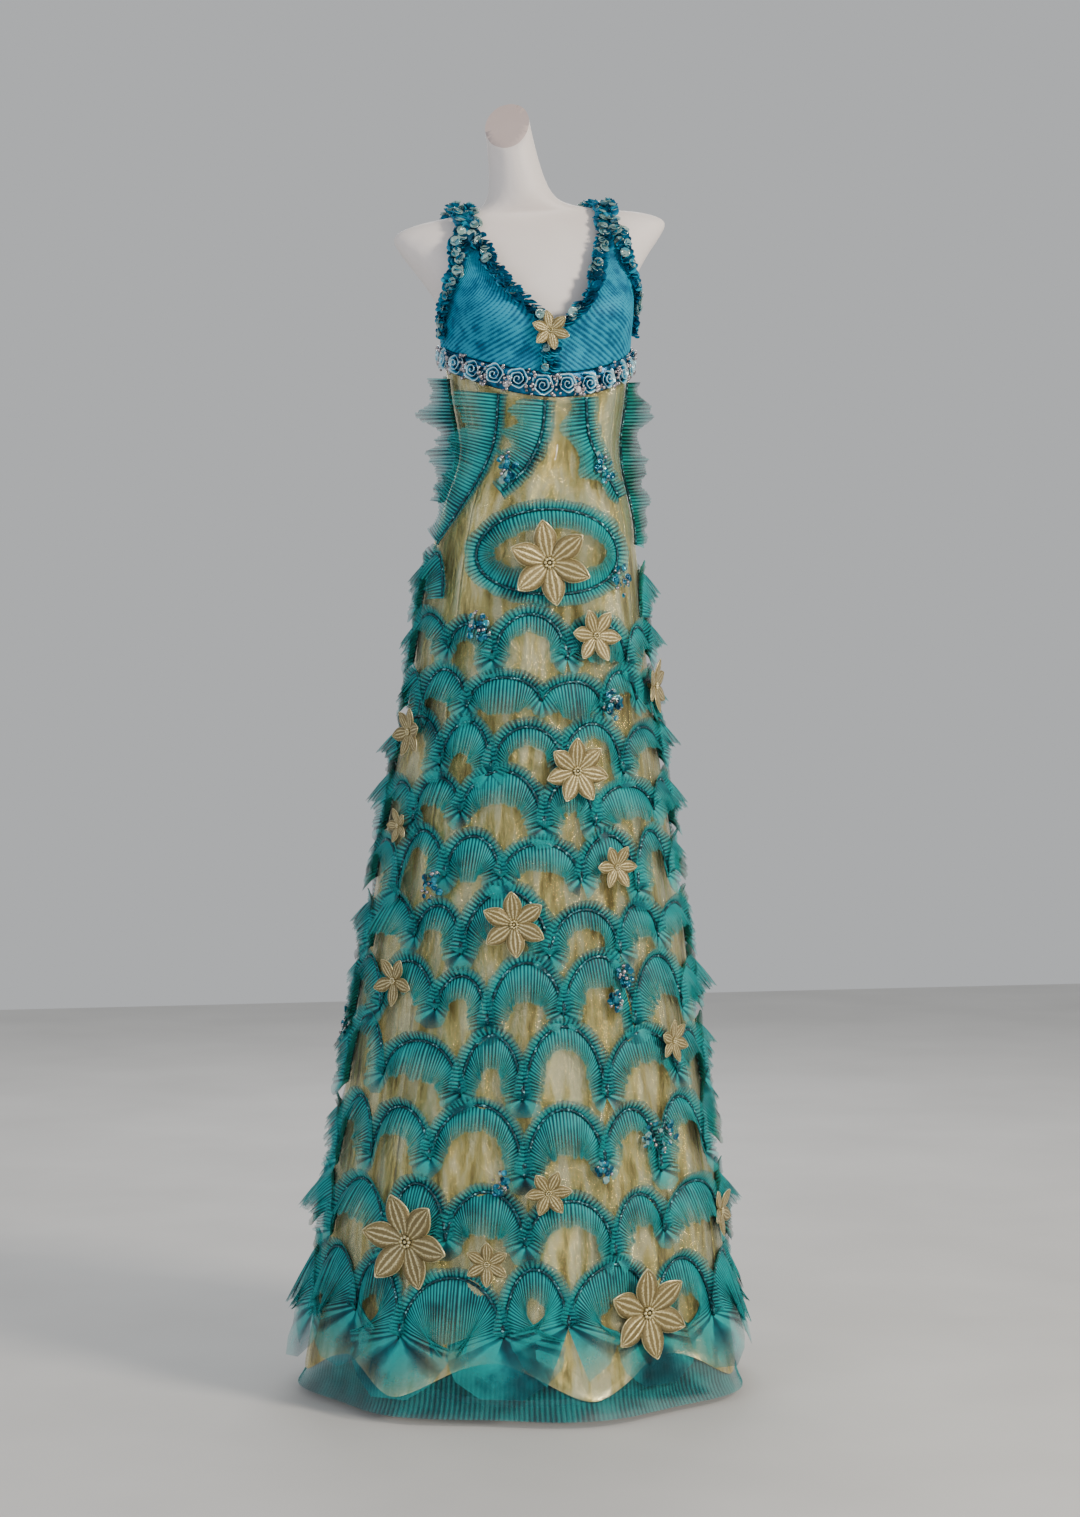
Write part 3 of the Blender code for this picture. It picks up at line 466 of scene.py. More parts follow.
organza, tree, shader, coords = new_material(
    "crisp_pleated_organza", {"Roughness": 0.45, "Specular IOR Level": 0.2})
across = node(tree, "ShaderNodeAttribute", attribute_name="across").outputs["Fac"]
pleat = node(tree, "ShaderNodeAttribute", attribute_name="pleat").outputs["Fac"]
cloud = node(tree, "ShaderNodeTexNoise", {"Vector": coords, "Scale": 26.0, "Detail": 3.0})
threads = node(tree, "ShaderNodeTexNoise", {"Vector": coords, "Scale": 700.0, "Detail": 1.0})
# Painted highlight and painted shade: the pleat crowns are painted lighter and the valleys darker, and
# the cloth a little lighter towards its free edge.
light = node(tree, "ShaderNodeMath", {0: pleat, 1: 0.62, 2: cloud}, operation="MULTIPLY_ADD")
light = node(tree, "ShaderNodeMath", {0: across, 1: 0.12, 2: light}, operation="MULTIPLY_ADD")
node(tree, "ShaderNodeValToRGB", {"Fac": light}, shader.inputs["Base Color"],
     [(0.32, "#001A22"), (0.62, "#004A54"), (0.84, "#00767C"), (1.0, "#12A6A4")])
# The cloth is dense where the pleats crowd at the braid and thins out towards its free edge.
cover = node(tree, "ShaderNodeMapRange", {"Value": across, "From Min": 0.15, "From Max": 1.0,
                                          "To Min": 1.0, "To Max": 0.38})
dense = node(tree, "ShaderNodeMath", {0: pleat, 1: -0.22, 2: cover}, operation="MULTIPLY_ADD")
dense = node(tree, "ShaderNodeMath", {0: threads, 1: 0.3, 2: dense}, operation="MULTIPLY_ADD")
node(tree, "ShaderNodeClamp", {"Value": dense, "Min": 0.28, "Max": 1.0}, shader.inputs["Alpha"])

braid_cloth, tree, shader, coords = new_material(
    "glitter_braid_dark_thread", {"Roughness": 0.35, "Metallic": 0.35})
sparkle = node(tree, "ShaderNodeTexVoronoi", {"Vector": coords, "Scale": 520.0})
glint = node(tree, "ShaderNodeSeparateColor", {"Color": sparkle.outputs["Color"]})
# The brightest random specks are painted glints of the glitter.
node(tree, "ShaderNodeValToRGB", {"Fac": glint}, shader.inputs["Base Color"],
     [(0.0, "#04262E"), (0.72, "#0A4650"), (0.9, "#1D7C88"), (1.0, "#8FD8DC")])
node(tree, "ShaderNodeBump", {"Height": sparkle, "Strength": 0.6, "Distance": 0.001},
     shader.inputs["Normal"])

flower_places = []
for index in range(FLOWER_COUNT):
    low, high = (np.array(corner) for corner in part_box(f"flower_{index + 1:02d}"))
    flower_places.append(((low + high) / 2, (high[2] - low[2]) / 2))


def arch_row(foot, rise, start, arches, pitch, row, closed):
    """Path of a row of arches: angles, heights, how far up its arch each point is and its fall."""
    draw = random.Random(row + 40)
    path = []
    for k in range(arches):
        turns = [2.3 * (k + j) + 1.7 * row for j in (0, 1)]
        if closed and k == arches - 1:
            turns[1] = 1.7 * row
        left = start + pitch * (k + 0.13 * math.sin(turns[0]))
        right = start + pitch * (k + 1 + 0.13 * math.sin(turns[1]))
        low, high = (foot + FOOT_SHIFT * math.sin(1.9 * turn) for turn in turns)
        lift = rise * (1 + 0.07 * math.sin(1.9 * k + 2.1 * row) + draw.uniform(-1, 1) * CROWN_VARIES)
        fall = draw.uniform(*FRILL_VARIES)
        step = np.arange(ARCH_SAMPLES) / ARCH_SAMPLES
        up = np.sin(np.pi * step) ** 0.7
        across = 0.5 * step + 0.25 * (1 - np.cos(np.pi * step))
        base = low + (high - low) * across
        path.append([left + (right - left) * across, (base + (foot + lift - base) * up) * MM, up,
                     fall + 0 * up])
    path.append([[path[0][0][0] + 360 if closed else right], [high * MM], [0.0], [1.0]])
    return np.concatenate(path, axis=1)


def lengths_along(points):
    """Length of a run of points up to each of them."""
    return np.concatenate([[0.0], np.cumsum(np.linalg.norm(np.diff(points, axis=0), axis=1))])


def wobble_along(lengths, knots, draw):
    """Uneven value from -1 to 1 that changes softly from knot to knot."""
    return np.interp(lengths, np.linspace(0, lengths[-1], knots), draw.uniform(-1, 1, knots))


def even(values, angles, heights, step):
    """Points at even steps along a path on the wall, with further values carried along."""
    along = lengths_along(wall(angles, heights))
    count = max(2, round(along[-1] / step)) + 1
    places = np.linspace(0, along[-1], count)
    return [np.interp(places, along, value) for value in (angles, heights, *values)] + [places]


def slide(angles, heights, side, distance, lift):
    """Points of the wall reached from a path by going a distance over the cloth."""
    one_degree = wall(angles + 0.5, heights) - wall(angles - 0.5, heights)
    length = np.linalg.norm(one_degree, axis=-1)
    level = (side * one_degree).sum(axis=-1) / length
    return wall(angles + level * distance / length, heights + side[..., 2] * distance, lift)


def ruffle(name, path, width, stand, pleat, finish, rows=5, pleat_depth=PLEAT_DEPTH, seed=0, hang=0.0):
    """Pleated strip sewn along a path of the wall. Width and stand vary along it, and hang is the
    share by which it falls straight down instead of square to the path.
    """
    angles, heights = path[:2]
    base = wall(angles, heights)
    along = unit(np.gradient(base, axis=0))
    side = unit(np.cross(along, outward(angles, heights)))
    side = unit(side * (1 - np.asarray(hang)[..., None]) + [0, 0, -1] * np.asarray(hang)[..., None])
    ends = "wrap" if np.linalg.norm(base[0] - base[-1]) < MM else "edge"
    spread = np.pad(side, ((FRILL_FAN // 2, FRILL_FAN // 2), (0, 0)), mode=ends)
    side = unit(np.stack([np.convolve(spread[:, k], np.hanning(FRILL_FAN + 2)[1:-1], "valid")
                          for k in range(3)], axis=-1))
    lengths = lengths_along(base)
    knots = max(3, int(lengths[-1] / WOBBLE_LENGTH))
    wobble = wobble_along(lengths, knots, np.random.default_rng(seed))
    phase = 2 * np.pi * (lengths / pleat + 0.25 * wobble)
    t = np.linspace(0, 1, rows)[:, None]
    press = np.ones(len(angles))
    for centre, petal in flower_places:
        beyond = np.linalg.norm(base - centre, axis=1) - petal
        free = FLOWER_PRESSED + (1 - FLOWER_PRESSED) * smooth(beyond / FLOWER_REACH)
        press = np.minimum(press, free)
    stand = stand * press
    reach = width * (1 + 0.10 * wobble) * np.sqrt(1 - stand ** 2)
    lift = ORGANZA_OFF + width * stand * t ** 0.75 * (1 + 0.25 * wobble)
    lift = lift + pleat_depth * t ** 0.5 * (0.6 + 0.4 * t) * (np.cos(phase) + 1) / 2
    distance = reach * t + 0.5 * pleat_depth * t * np.cos(phase)
    points = slide(angles[None, :], heights[None, :], side[None, :], distance, lift)
    points = points + along[None, :] * (0.45 * pleat_depth * t * np.sin(2 * phase))[..., None]
    crowns = (np.cos(phase) + 1)[None, :] / 2
    return grid_piece(name, points, finish, layers={"across": t, "pleat": crowns})


def tube(name, points, radius, sides, finish, bumps=0.0):
    """Round trim along a run of points, with its ends closed."""
    along = unit(np.gradient(points, axis=0))
    level = unit(np.cross(along, [0.31, -0.17, 0.93]))
    other = np.cross(along, level)
    turn = np.linspace(0, 2 * np.pi, sides, endpoint=False)[:, None, None]
    size = radius * (1 + bumps * np.cos(np.arange(len(points)) * 2.4))[None, :, None]
    skin = points + (level * np.cos(turn) + other * np.sin(turn)) * size
    rings = skin.transpose(1, 0, 2)
    made = grid_piece(name, rings, finish, closed=True)
    work = bmesh.new()
    work.from_mesh(made.data)
    bmesh.ops.holes_fill(work, edges=[e for e in work.edges if e.is_boundary], sides=sides)
    bmesh.ops.recalc_face_normals(work, faces=work.faces)
    work.to_mesh(made.data)
    work.free()
    made.data.shade_smooth()
    return made


def join(pieces, name):
    """One piece from several, named."""
    bpy.ops.object.select_all(action="DESELECT")
    for piece in pieces:
        piece.select_set(True)
    bpy.context.view_layer.objects.active = pieces[0]
    if len(pieces) > 1:
        bpy.ops.object.join()
    made = bpy.context.object
    made.name = made.data.name = name
    return made


def sew_frill(node_name, path, width, stand, seed, hang=0.0):
    """Hanging frill, standing ruffle and braid of one sewn line."""
    angles, heights = path
    fall = ruffle("fall", path, width, stand, FRILL_PLEAT, organza, seed=seed, hang=hang)
    rise = ruffle("rise", path, np.full(len(angles), -RUFFLE_WIDTH), np.full(len(angles), RUFFLE_STAND),
                  FRILL_PLEAT, organza, rows=3, pleat_depth=RUFFLE_PLEAT_DEPTH, seed=seed + 1)
    frill = join([fall, rise], "pleated_" + node_name)
    skip = PLEAT_COLUMNS
    braid = tube("braid_" + node_name, wall(angles[::skip], heights[::skip], BRAID_OFF),
                 BRAID_RADIUS, BRAID_SIDES, braid_cloth, bumps=BRAID_BUMPS)
    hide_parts(node_name)
    for piece in (frill, braid):
        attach(piece, "root")


def side_stand(angles):
    """Frills stand out more at the sides of the skirt."""
    sideways = np.abs(np.sin(np.radians(angles))) ** 3
    return FRILL_STAND_FRONT + (FRILL_STAND_SIDE - FRILL_STAND_FRONT) * sideways


for row, (foot, rise, arches, turn) in enumerate(FRILL_ROWS):
    angles, heights, ups, fall = arch_row(foot, rise, turn, arches, 360 / arches, row, True)
    angles, heights, ups, fall, _ = even([ups, fall], angles, heights, FRILL_PLEAT / PLEAT_COLUMNS)
    at_foot, at_crown = FRILL_AT_FOOT, FRILL_AT_CROWN
    stand = side_stand(angles)
    if row == len(FRILL_ROWS) - 1:
        at_foot, at_crown = HEM_ROW_AT_FOOT, HEM_ROW_AT_CROWN
        stand = stand * HEM_ROW_STAND
    width = (at_foot + (at_crown * fall - at_foot) * ups ** 2) * (0.8 + 0.3 * rise / 75)
    sew_frill(f"frill_row_{row + 1:02d}", (angles, heights), width, stand, seed=row * 3,
              hang=FRILL_HANG * ups ** 1.5)

# The same frill behind the hips, round the hip oval and along the S-shaped strips of the midriff.
# The strips are wider than the frills of the skirt and stand out past the waist at both sides.
HIP_OVAL = {"angle": -2, "height": 1036, "half_angle": 42, "half_height": 52}
OVAL_SAMPLES = 96
OVAL_WIDTH = 26 * MM
OVAL_STAND = 0.35
# Each strip: name, width in millimetres, share by which it stands out, and angles and heights.
MIDRIFF_FRILLS = [
    ("midriff_frill_1", 38, 0.30, [(-6, 1221), (-9, 1180), (-19, 1140), (-34, 1108)]),
    ("midriff_frill_2", 48, 0.40, [(-36, 1229), (-42, 1180), (-52, 1130), (-66, 1080), (-80, 1048)]),
    ("midriff_frill_3", 34, 0.85, [(-84, 1252), (-88, 1195), (-86, 1150), (-92, 1100)]),
    ("midriff_frill_4", 35, 0.30, [(22, 1226), (26, 1180), (38, 1140), (50, 1104)]),
    ("midriff_frill_5", 34, 0.85, [(74, 1250), (78, 1190), (80, 1140), (74, 1085), (66, 1048)]),
    ("midriff_frill_6", 38, 0.60, [(118, 1262), (121, 1190), (124, 1140), (119, 1085)]),
    ("midriff_frill_7", 40, 0.45, [(178, 1264), (170, 1190), (178, 1140), (190, 1085)]),
    ("midriff_frill_8", 38, 0.60, [(236, 1262), (230, 1190), (222, 1140), (232, 1085)]),
]


def curve_through(pairs, steps):
    """Even steps along a smooth curve through a few pairs."""
    last = len(pairs) - 1
    found = []
    for i in range(steps + 1):
        place = i / steps * last
        k = min(int(place), last - 1)
        t = place - k
        corners = (pairs[max(k - 1, 0)], pairs[k], pairs[k + 1], pairs[min(k + 2, last)])
        found.append([0.5 * (2 * b + (c - a) * t + (2 * a - 5 * b + 4 * c - d) * t * t
                             + (3 * b - a - 3 * c + d) * t ** 3) for a, b, c, d in zip(*corners)])
    return np.array(found).T


pitch = (BACK_ROW["end"] - BACK_ROW["start"]) / BACK_ROW["arches"]
angles, heights, ups, fall = arch_row(BACK_ROW["foot"], BACK_ROW["rise"], BACK_ROW["start"],
                                      BACK_ROW["arches"], pitch, len(FRILL_ROWS), False)
angles, heights, ups, fall, _ = even([ups, fall], angles, heights, FRILL_PLEAT / PLEAT_COLUMNS)
width = FRILL_AT_FOOT + (FRILL_AT_CROWN * fall - FRILL_AT_FOOT) * ups ** 2
sew_frill("frill_row_back", (angles, heights), width, side_stand(angles), seed=101,
          hang=FRILL_HANG * ups ** 1.5)

turn = np.linspace(0, 2 * np.pi, OVAL_SAMPLES)
angles = HIP_OVAL["angle"] - HIP_OVAL["half_angle"] * np.sin(turn)
heights = (HIP_OVAL["height"] - HIP_OVAL["half_height"] * np.cos(turn)) * MM
angles, heights, _ = even([], angles, heights, FRILL_PLEAT / PLEAT_COLUMNS)
sew_frill("frill_hip_oval", (angles, heights), np.full(len(angles), OVAL_WIDTH),
          np.full(len(angles), OVAL_STAND), seed=111)

for index, (name, width, stand, pairs) in enumerate(MIDRIFF_FRILLS):
    angles, heights = curve_through(pairs, 40)
    angles, heights, _ = even([], angles, heights * MM, FRILL_PLEAT / PLEAT_COLUMNS)
    share = np.linspace(0, 1, len(angles))
    width = width * MM * (0.5 + 0.5 * smooth((1 - share) / 0.4)) * (0.8 + 0.2 * smooth(share / 0.2))
    width = width * (1 + 0.22 * np.sin(19 * share + index))
    sew_frill(name, (angles, heights), width, stand * (1 + 0.12 * np.sin(23 * share + index)),
              seed=121 + 3 * index)

# Sheer hem: one more layer of the organza, sewn inside the gold skirt, that shows below its edge.
# Each level: share of the way down, height and how far out in millimetres.
SHEER_HEM = [(0, 80, -2.1), (0.79, 24, -2.6), (1, 9, 5)]
HEM_PLEAT = 6 * MM
HEM_WAVE = 1.6 * MM
columns = int(2 * math.pi * SECTION_VALUES[0][0] * MM / HEM_PLEAT) * PLEAT_COLUMNS
angle = np.linspace(0, 360, columns, endpoint=False)
level = np.linspace(0, 1, 9)[:, None]
shares, *steps = zip(*SHEER_HEM)
heights, outs = (np.interp(level, shares, [step * MM for step in column]) for column in steps)
ripple = np.cos(np.arange(columns) * 2 * np.pi / PLEAT_COLUMNS)[None, :]
outs = outs - HEM_WAVE * smooth((level - 0.75) / 0.2) * (1 - ripple) / 2
outs = outs + np.minimum(0, fold(angle[None, :], heights))
hem = grid_piece("sheer_hem", wall(angle[None, :], heights, outs), organza, closed=True,
                 layers={"across": 0.8 + 0.2 * level, "pleat": 0.35 + 0.35 * ripple})
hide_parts("hem_organza")
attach(hem, "root")

# Bust cups and bodice back: fine turquoise cotton voile, ruched by hand in pleats of 4 to 6 mm
# over a lining. On both cups the pleats rise towards the centre.
# Each level of a cup: height, angle of the neck edge, angle of the side edge.
CUP_LEVELS = [
    (1298, 0.2, 84), (1318, 0.2, 83), (1338, 0.3, 79), (1354, 11, 69), (1370, 20, 59),
    (1390, 23.5, 47), (1410, 24, 38), (1426, 23.5, 32),
]
CUP_DOME = 27 * MM
CUP_LIFT = 1.5 * MM
CUP_CENTRE = (33, 1328)
CUP_SPREAD = (27, 38)
# Upper edge of the back: angle and height.
BACK_EDGE = [(84, 1334), (105, 1338), (130, 1352), (150, 1376), (165, 1372), (180, 1366)]
VOILE_THICK = 0.8 * MM
PLEAT_RISE = 1.3 * MM
CUP_PLEATS = 4.6
CUP_SLOPE = 4.6
CUP_GRID = (170, 84)
CUP_TOP = len(CUP_LEVELS) - 1
BACK_GRID = (60, 120)
BACK_PLEAT = 5.2 * MM

voile, tree, shader, coords = new_material(
    "ruched_turquoise_cotton_voile", {"Roughness": 0.6, "Specular IOR Level": 0.25})
ridge = node(tree, "ShaderNodeAttribute", attribute_name="pleat").outputs["Fac"]
cloud = node(tree, "ShaderNodeTexNoise", {"Vector": coords, "Scale": 60.0, "Detail": 4.0})
# Painted highlight and painted shade: the crowns of the pleats and ruches are painted lighter and their
# valleys darker.
light = node(tree, "ShaderNodeMath", {0: ridge, 1: 0.6, 2: cloud}, operation="MULTIPLY_ADD")
node(tree, "ShaderNodeValToRGB", {"Fac": light}, shader.inputs["Base Color"],
     [(0.35, "#012434"), (0.6, "#024F70"), (0.85, "#046E92"), (1.0, "#1A9AB8")])
weave = node(tree, "ShaderNodeTexNoise", {"Vector": coords, "Scale": 900.0, "Detail": 2.0})
node(tree, "ShaderNodeBump", {"Height": weave, "Strength": 0.3, "Distance": 0.0006},
     shader.inputs["Normal"])


def cup_out(angle, height):
    """How far the cup stands out of the body line."""
    across = (np.abs(angle) - CUP_CENTRE[0]) / CUP_SPREAD[0]
    up = (height / MM - CUP_CENTRE[1]) / CUP_SPREAD[1]
    return CUP_LIFT + CUP_DOME * np.exp(-across * across - up * up)


def cup_spot(side, part, level):
    """Angle and height on a cup: part runs from the neck edge to the side, level up the table."""
    part, level = np.broadcast_arrays(np.asarray(part, float), np.asarray(level, float))
    rows = np.arange(len(CUP_LEVELS))
    height, neck, edge = (np.interp(level, rows, [row[k] for row in CUP_LEVELS]) for k in range(3))
    angle = neck + (edge - neck) * part
    floor = band_middle(angle) + BAND_HEIGHT / 2 + SEAM_GAP
    first, top = CUP_LEVELS[0][0] * MM, CUP_LEVELS[-1][0] * MM
    return side * angle, floor + (height * MM - first) * (top - floor) / (top - first)


def ridges(phase):
    """Rounded pleats with narrow valleys."""
    return np.abs(np.cos(phase / 2)) ** 0.8


for side, word in ((-1, "left"), (1, "right")):
    level = np.linspace(0, CUP_TOP, CUP_GRID[0])[:, None]
    part = np.linspace(0, 1, CUP_GRID[1])[None, :]
    angle, height = cup_spot(side, part, level)
    wander = 0.25 * np.sin(5 * part + 1.3 * level) + 0.12 * np.sin(17 * part + 3.1 * level)
    phase = 2 * np.pi * (CUP_PLEATS * (level + CUP_SLOPE * part) + wander)
    pleats = ridges(phase)
    edge = (smooth(np.minimum(part, 1 - part) / 0.03)
            * smooth(np.minimum(level, CUP_TOP - level) / 0.12))
    points = wall(angle, height, cup_out(angle, height) + PLEAT_RISE * (pleats * edge - 0.3))
    cup = grid_piece("ruched_cup_" + word, points, voile, VOILE_THICK, layers={"pleat": pleats})
    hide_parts("cup_" + word)
    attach(cup, "root")

    start, end = CUP_LEVELS[0][2] + 0.25, 180 - 0.08
    angle = np.linspace(start, end, BACK_GRID[1])[None, :]
    share = np.linspace(0, 1, BACK_GRID[0])[:, None]
    top = np.zeros_like(angle)
    for (a0, h0), (a1, h1) in zip(BACK_EDGE, BACK_EDGE[1:]):
        inside = (angle >= a0) & (angle <= a1)
        top = np.where(inside, (h0 + (h1 - h0) * smooth((angle - a0) / (a1 - a0))) * MM, top)
    floor = band_middle(angle) + BAND_HEIGHT / 2 + SEAM_GAP
    height = floor + (top - floor) * share
    wander = 0.02 * (angle - 90) + 0.3 * np.sin(angle / 7) + 0.2 * np.sin(angle / 2.3)
    phase = 2 * np.pi * (height / BACK_PLEAT + wander)
    pleats = ridges(phase)
    edge = smooth((end - angle) / 2) * smooth((angle - start) / 2)
    points = wall(side * angle, height, CUP_LIFT + PLEAT_RISE * (pleats * edge - 0.3))
    back = grid_piece("ruched_back_" + word, points, voile, VOILE_THICK, layers={"pleat": pleats})
    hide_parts("bodice_back_" + word)
    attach(back, "root")

# Flowers: padded petals of beige gold satin, each edged with a fine cord and filled with rows of
# gold thread and tiny beads, round a beaded centre. They are sewn on through short centres.
PETAL_ROWS = 13
PETAL_COLUMNS = 9
PETAL_WIDTH = 0.50
PETAL_PAD = 0.055
CORD_RADIUS = 0.020
RIB_PAIRS = 3
CENTRE_BEADS = 9
FLOWER_AXIS = (0.004, 0.006)
FLOWER_HEIGHT = 12 * MM
FLOWER_CAST = [6, 6, 6, 6, 7, 5, 6, 6, 5, 6, 6, 6, 6, 6, 5, 6, 6, 6, 6]
FLOWER_TURNS = [10, 25, 0, 40, 15, 0, 30, 5, 20, 12, 35, 20, 0, 8, 15, 10, 30, 0, 45]

satin, tree, shader, coords = new_material(
    "beige_gold_satin_with_thread_rows", {"Metallic": 0.25, "Roughness": 0.38})
rib = node(tree, "ShaderNodeAttribute", attribute_name="rib").outputs["Fac"]
grain = node(tree, "ShaderNodeTexVoronoi", {"Vector": coords, "Scale": 620.0})
light = node(tree, "ShaderNodeMath", {0: grain, 1: -0.5, 2: rib}, operation="MULTIPLY_ADD")
node(tree, "ShaderNodeValToRGB", {"Fac": light}, shader.inputs["Base Color"],
     [(0.1, "#7E6E44"), (0.4, "#E2D49C"), (0.75, "#FFF9DC")])
node(tree, "ShaderNodeBump", {"Height": grain, "Strength": 0.6, "Distance": 0.0008},
     shader.inputs["Normal"])

cord_thread, tree, shader, coords = new_material(
    "gold_metal_cord", {"Metallic": 0.7, "Roughness": 0.3})
twist = node(tree, "ShaderNodeTexNoise", {"Vector": coords, "Scale": 800.0, "Detail": 1.0})
node(tree, "ShaderNodeValToRGB", {"Fac": twist}, shader.inputs["Base Color"],
     [(0.35, "#C2B176"), (0.65, "#F6ECC2")])


def petal_point(along, across, length):
    """Point of a flat petal: along from the centre to the tip, across from edge to edge."""
    round_off = np.maximum(0, np.sin(np.pi * np.clip(along, 0, 1) ** 1.2))
    spread = PETAL_WIDTH * (0.12 * (1 - along) + round_off ** 0.9)
    swell = np.sin(np.pi * np.clip(along, 0.02, 0.98)) ** 0.5
    pad = PETAL_PAD * np.sqrt(np.maximum(0, 1 - across ** 2)) * swell
    cup = 0.10 * along ** 1.6 + 0.05 * across ** 2 * along
    return np.stack([along + 0 * across, 0.5 * spread * across, pad + cup], axis=-1) * length


def flat_flower(petals, length, turn):
    """Petals, cords, ribs and beads of one flower, lying face up at the origin."""
    pieces = []
    along = np.linspace(0.08, 1, PETAL_ROWS)[:, None]
    across = np.linspace(-1, 1, PETAL_COLUMNS)[None, :]
    rib = 0.35 + 0.4 * np.cos(across * np.pi * (RIB_PAIRS + 0.5)) + 0 * along
    for k in range(petals):
        spin = Matrix.Rotation(math.radians(turn) + (k + 0.5) * 2 * math.pi / petals, 4, "Z")
        tilt = Matrix.Rotation(math.radians(-4 * math.sin(2.1 * k + length * 900)), 4, "Y")
        leaf = grid_piece("leaf", petal_point(along, across, length), satin, 0.02 * length,
                          layers={"rib": rib})
        outline = np.concatenate([petal_point(np.linspace(0.08, 0.995, 12), -1.0, length),
                                  petal_point(np.linspace(0.98, 0.08, 11), 1.0, length)])
        rim = tube("rim", outline, CORD_RADIUS * length, 5, cord_thread)
        parts = [leaf, rim]
        for row in range(RIB_PAIRS):
            reach = np.linspace(0.14, 0.9 - 0.12 * abs(row - 1), 9)
            line = petal_point(reach, (row - 1) * 0.5, length) + [0, 0, 0.012 * length]
            parts.append(tube("rib", line, 0.013 * length, 4, cord_thread, 0.35))
        for part in parts:
            part.data.transform(spin @ tilt)
        pieces += parts
    for k in range(CENTRE_BEADS):
        angle = 2 * math.pi * k / (CENTRE_BEADS - 1)
        reach = 0 if k == CENTRE_BEADS - 1 else 0.10 * length
        bpy.ops.object.select_all(action="DESELECT")
        bpy.ops.mesh.primitive_ico_sphere_add(subdivisions=1, radius=0.045 * length)
        bead = bpy.context.object
        bead.data.transform(Matrix.Translation((reach * math.cos(angle), reach * math.sin(angle),
                                                0.085 * length)))
        bead.data.materials.append(cord_thread)
        bead.data.shade_smooth()
        pieces.append(bead)
    return join(pieces, "flower")


def lay(piece, centre, out, roll=0.0):
    """Move a piece made at the origin, face up, onto a place facing out."""
    out = Vector(out)
    across = Vector((0, 0, 1)).cross(out).normalized()
    up = out.cross(across)
    turn = Matrix((across, up, out)).transposed().to_4x4()
    piece.data.transform(Matrix.Translation(centre) @ turn @ Matrix.Rotation(roll, 4, "Z"))


def sew_flower(node_name, petals, turn, rise):
    """Beaded flower in the place of its solid."""
    points = np.array([vertex.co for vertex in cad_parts[node_name].data.vertices])
    foot = points[np.argmin(np.linalg.norm(points[:, :2] - FLOWER_AXIS, axis=1))]
    around = np.linspace(0, 360, 1441)
    nearest = around[np.argmin(np.linalg.norm(wall(around, foot[2]) - foot, axis=1))]
    out = outward(nearest, foot[2])
    reach = points - foot - ((points - foot) @ out)[:, None] * out
    length = float(np.linalg.norm(reach, axis=1).max())
    flower = flat_flower(petals, length, turn)
    lay(flower, Vector(foot) + Vector(out) * rise, out)
    bpy.ops.object.select_all(action="DESELECT")
    bpy.ops.mesh.primitive_cylinder_add(vertices=10, radius=0.10 * length, depth=rise)
    stem = bpy.context.object
    stem.data.materials.append(satin)
    stem.data.transform(Matrix.Translation((0, 0, rise / 2)))
    lay(stem, Vector(foot), out)
    made = join([flower, stem], "beaded_" + node_name)
    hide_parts(node_name)
    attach(made, "root")


for index, (petals, turn) in enumerate(zip(FLOWER_CAST, FLOWER_TURNS)):
    sew_flower(f"flower_{index + 1:02d}", petals, turn, FLOWER_HEIGHT)
sew_flower("flower_neck", 6, 12, FLOWER_HEIGHT)

# Underbust band: a sewn strip of light blue metallic ribbon that carries ribbon roses, each wound
# from the same ribbon, with pearls and clusters of silver beads between them.
BAND_THICK = 3 * MM
ROSE_COUNT = 24
ROSE_RADIUS = 15 * MM
ROSE_TURNS = 2.6
ROSE_DEPTH = 9 * MM
ROSE_STEPS = 60
ROSE_ROWS = 4
ROSE_FOOT = 1.0 * MM
ROSE_SUNK = 1.6 * MM
RIBBON_THICK = 0.5 * MM
STRIP_THICK = 0.8 * MM
STRIP_COLUMNS = 288
PEARL_RADIUS = 4.6 * MM
BEAD_RADIUS = 2.5 * MM
BEADS_BETWEEN = 17

ribbon, tree, shader, coords = new_material(
    "light_blue_metallic_ribbon", {"Metallic": 0.55, "Roughness": 0.22})
sheen = node(tree, "ShaderNodeTexNoise", {"Vector": coords, "Scale": 160.0, "Detail": 3.0})
edge = node(tree, "ShaderNodeAttribute", attribute_name="edge").outputs["Fac"]
light = node(tree, "ShaderNodeMath", {0: sheen, 1: 0.6, 2: edge}, operation="MULTIPLY_ADD")
# Painted sheen and painted shade: noise paints highlights into the ribbon, and each ribbon is lighter
# towards its top edge and darker towards its foot, in the gaps of the roses.
node(tree, "ShaderNodeValToRGB", {"Fac": light}, shader.inputs["Base Color"],
     [(0.3, "#0A2440"), (0.52, "#1E7FAE"), (0.78, "#5FC2DF"), (1.0, "#C4ECF6")])
threads = node(tree, "ShaderNodeTexWave", {"Vector": coords, "Scale": 380.0, "Distortion": 1.0})
node(tree, "ShaderNodeBump",
     {"Height": threads.outputs["Fac"], "Strength": 0.25, "Distance": 0.0005},
     shader.inputs["Normal"])

pearl, tree, shader, coords = new_material(
    "pearl_glass_beads", {"Roughness": 0.18, "Coat Weight": 0.6})
cloud = node(tree, "ShaderNodeTexNoise", {"Vector": coords, "Scale": 240.0})
node(tree, "ShaderNodeValToRGB", {"Fac": cloud}, shader.inputs["Base Color"],
     [(0.35, "#DCD6DA"), (0.65, "#F3EFEE")])

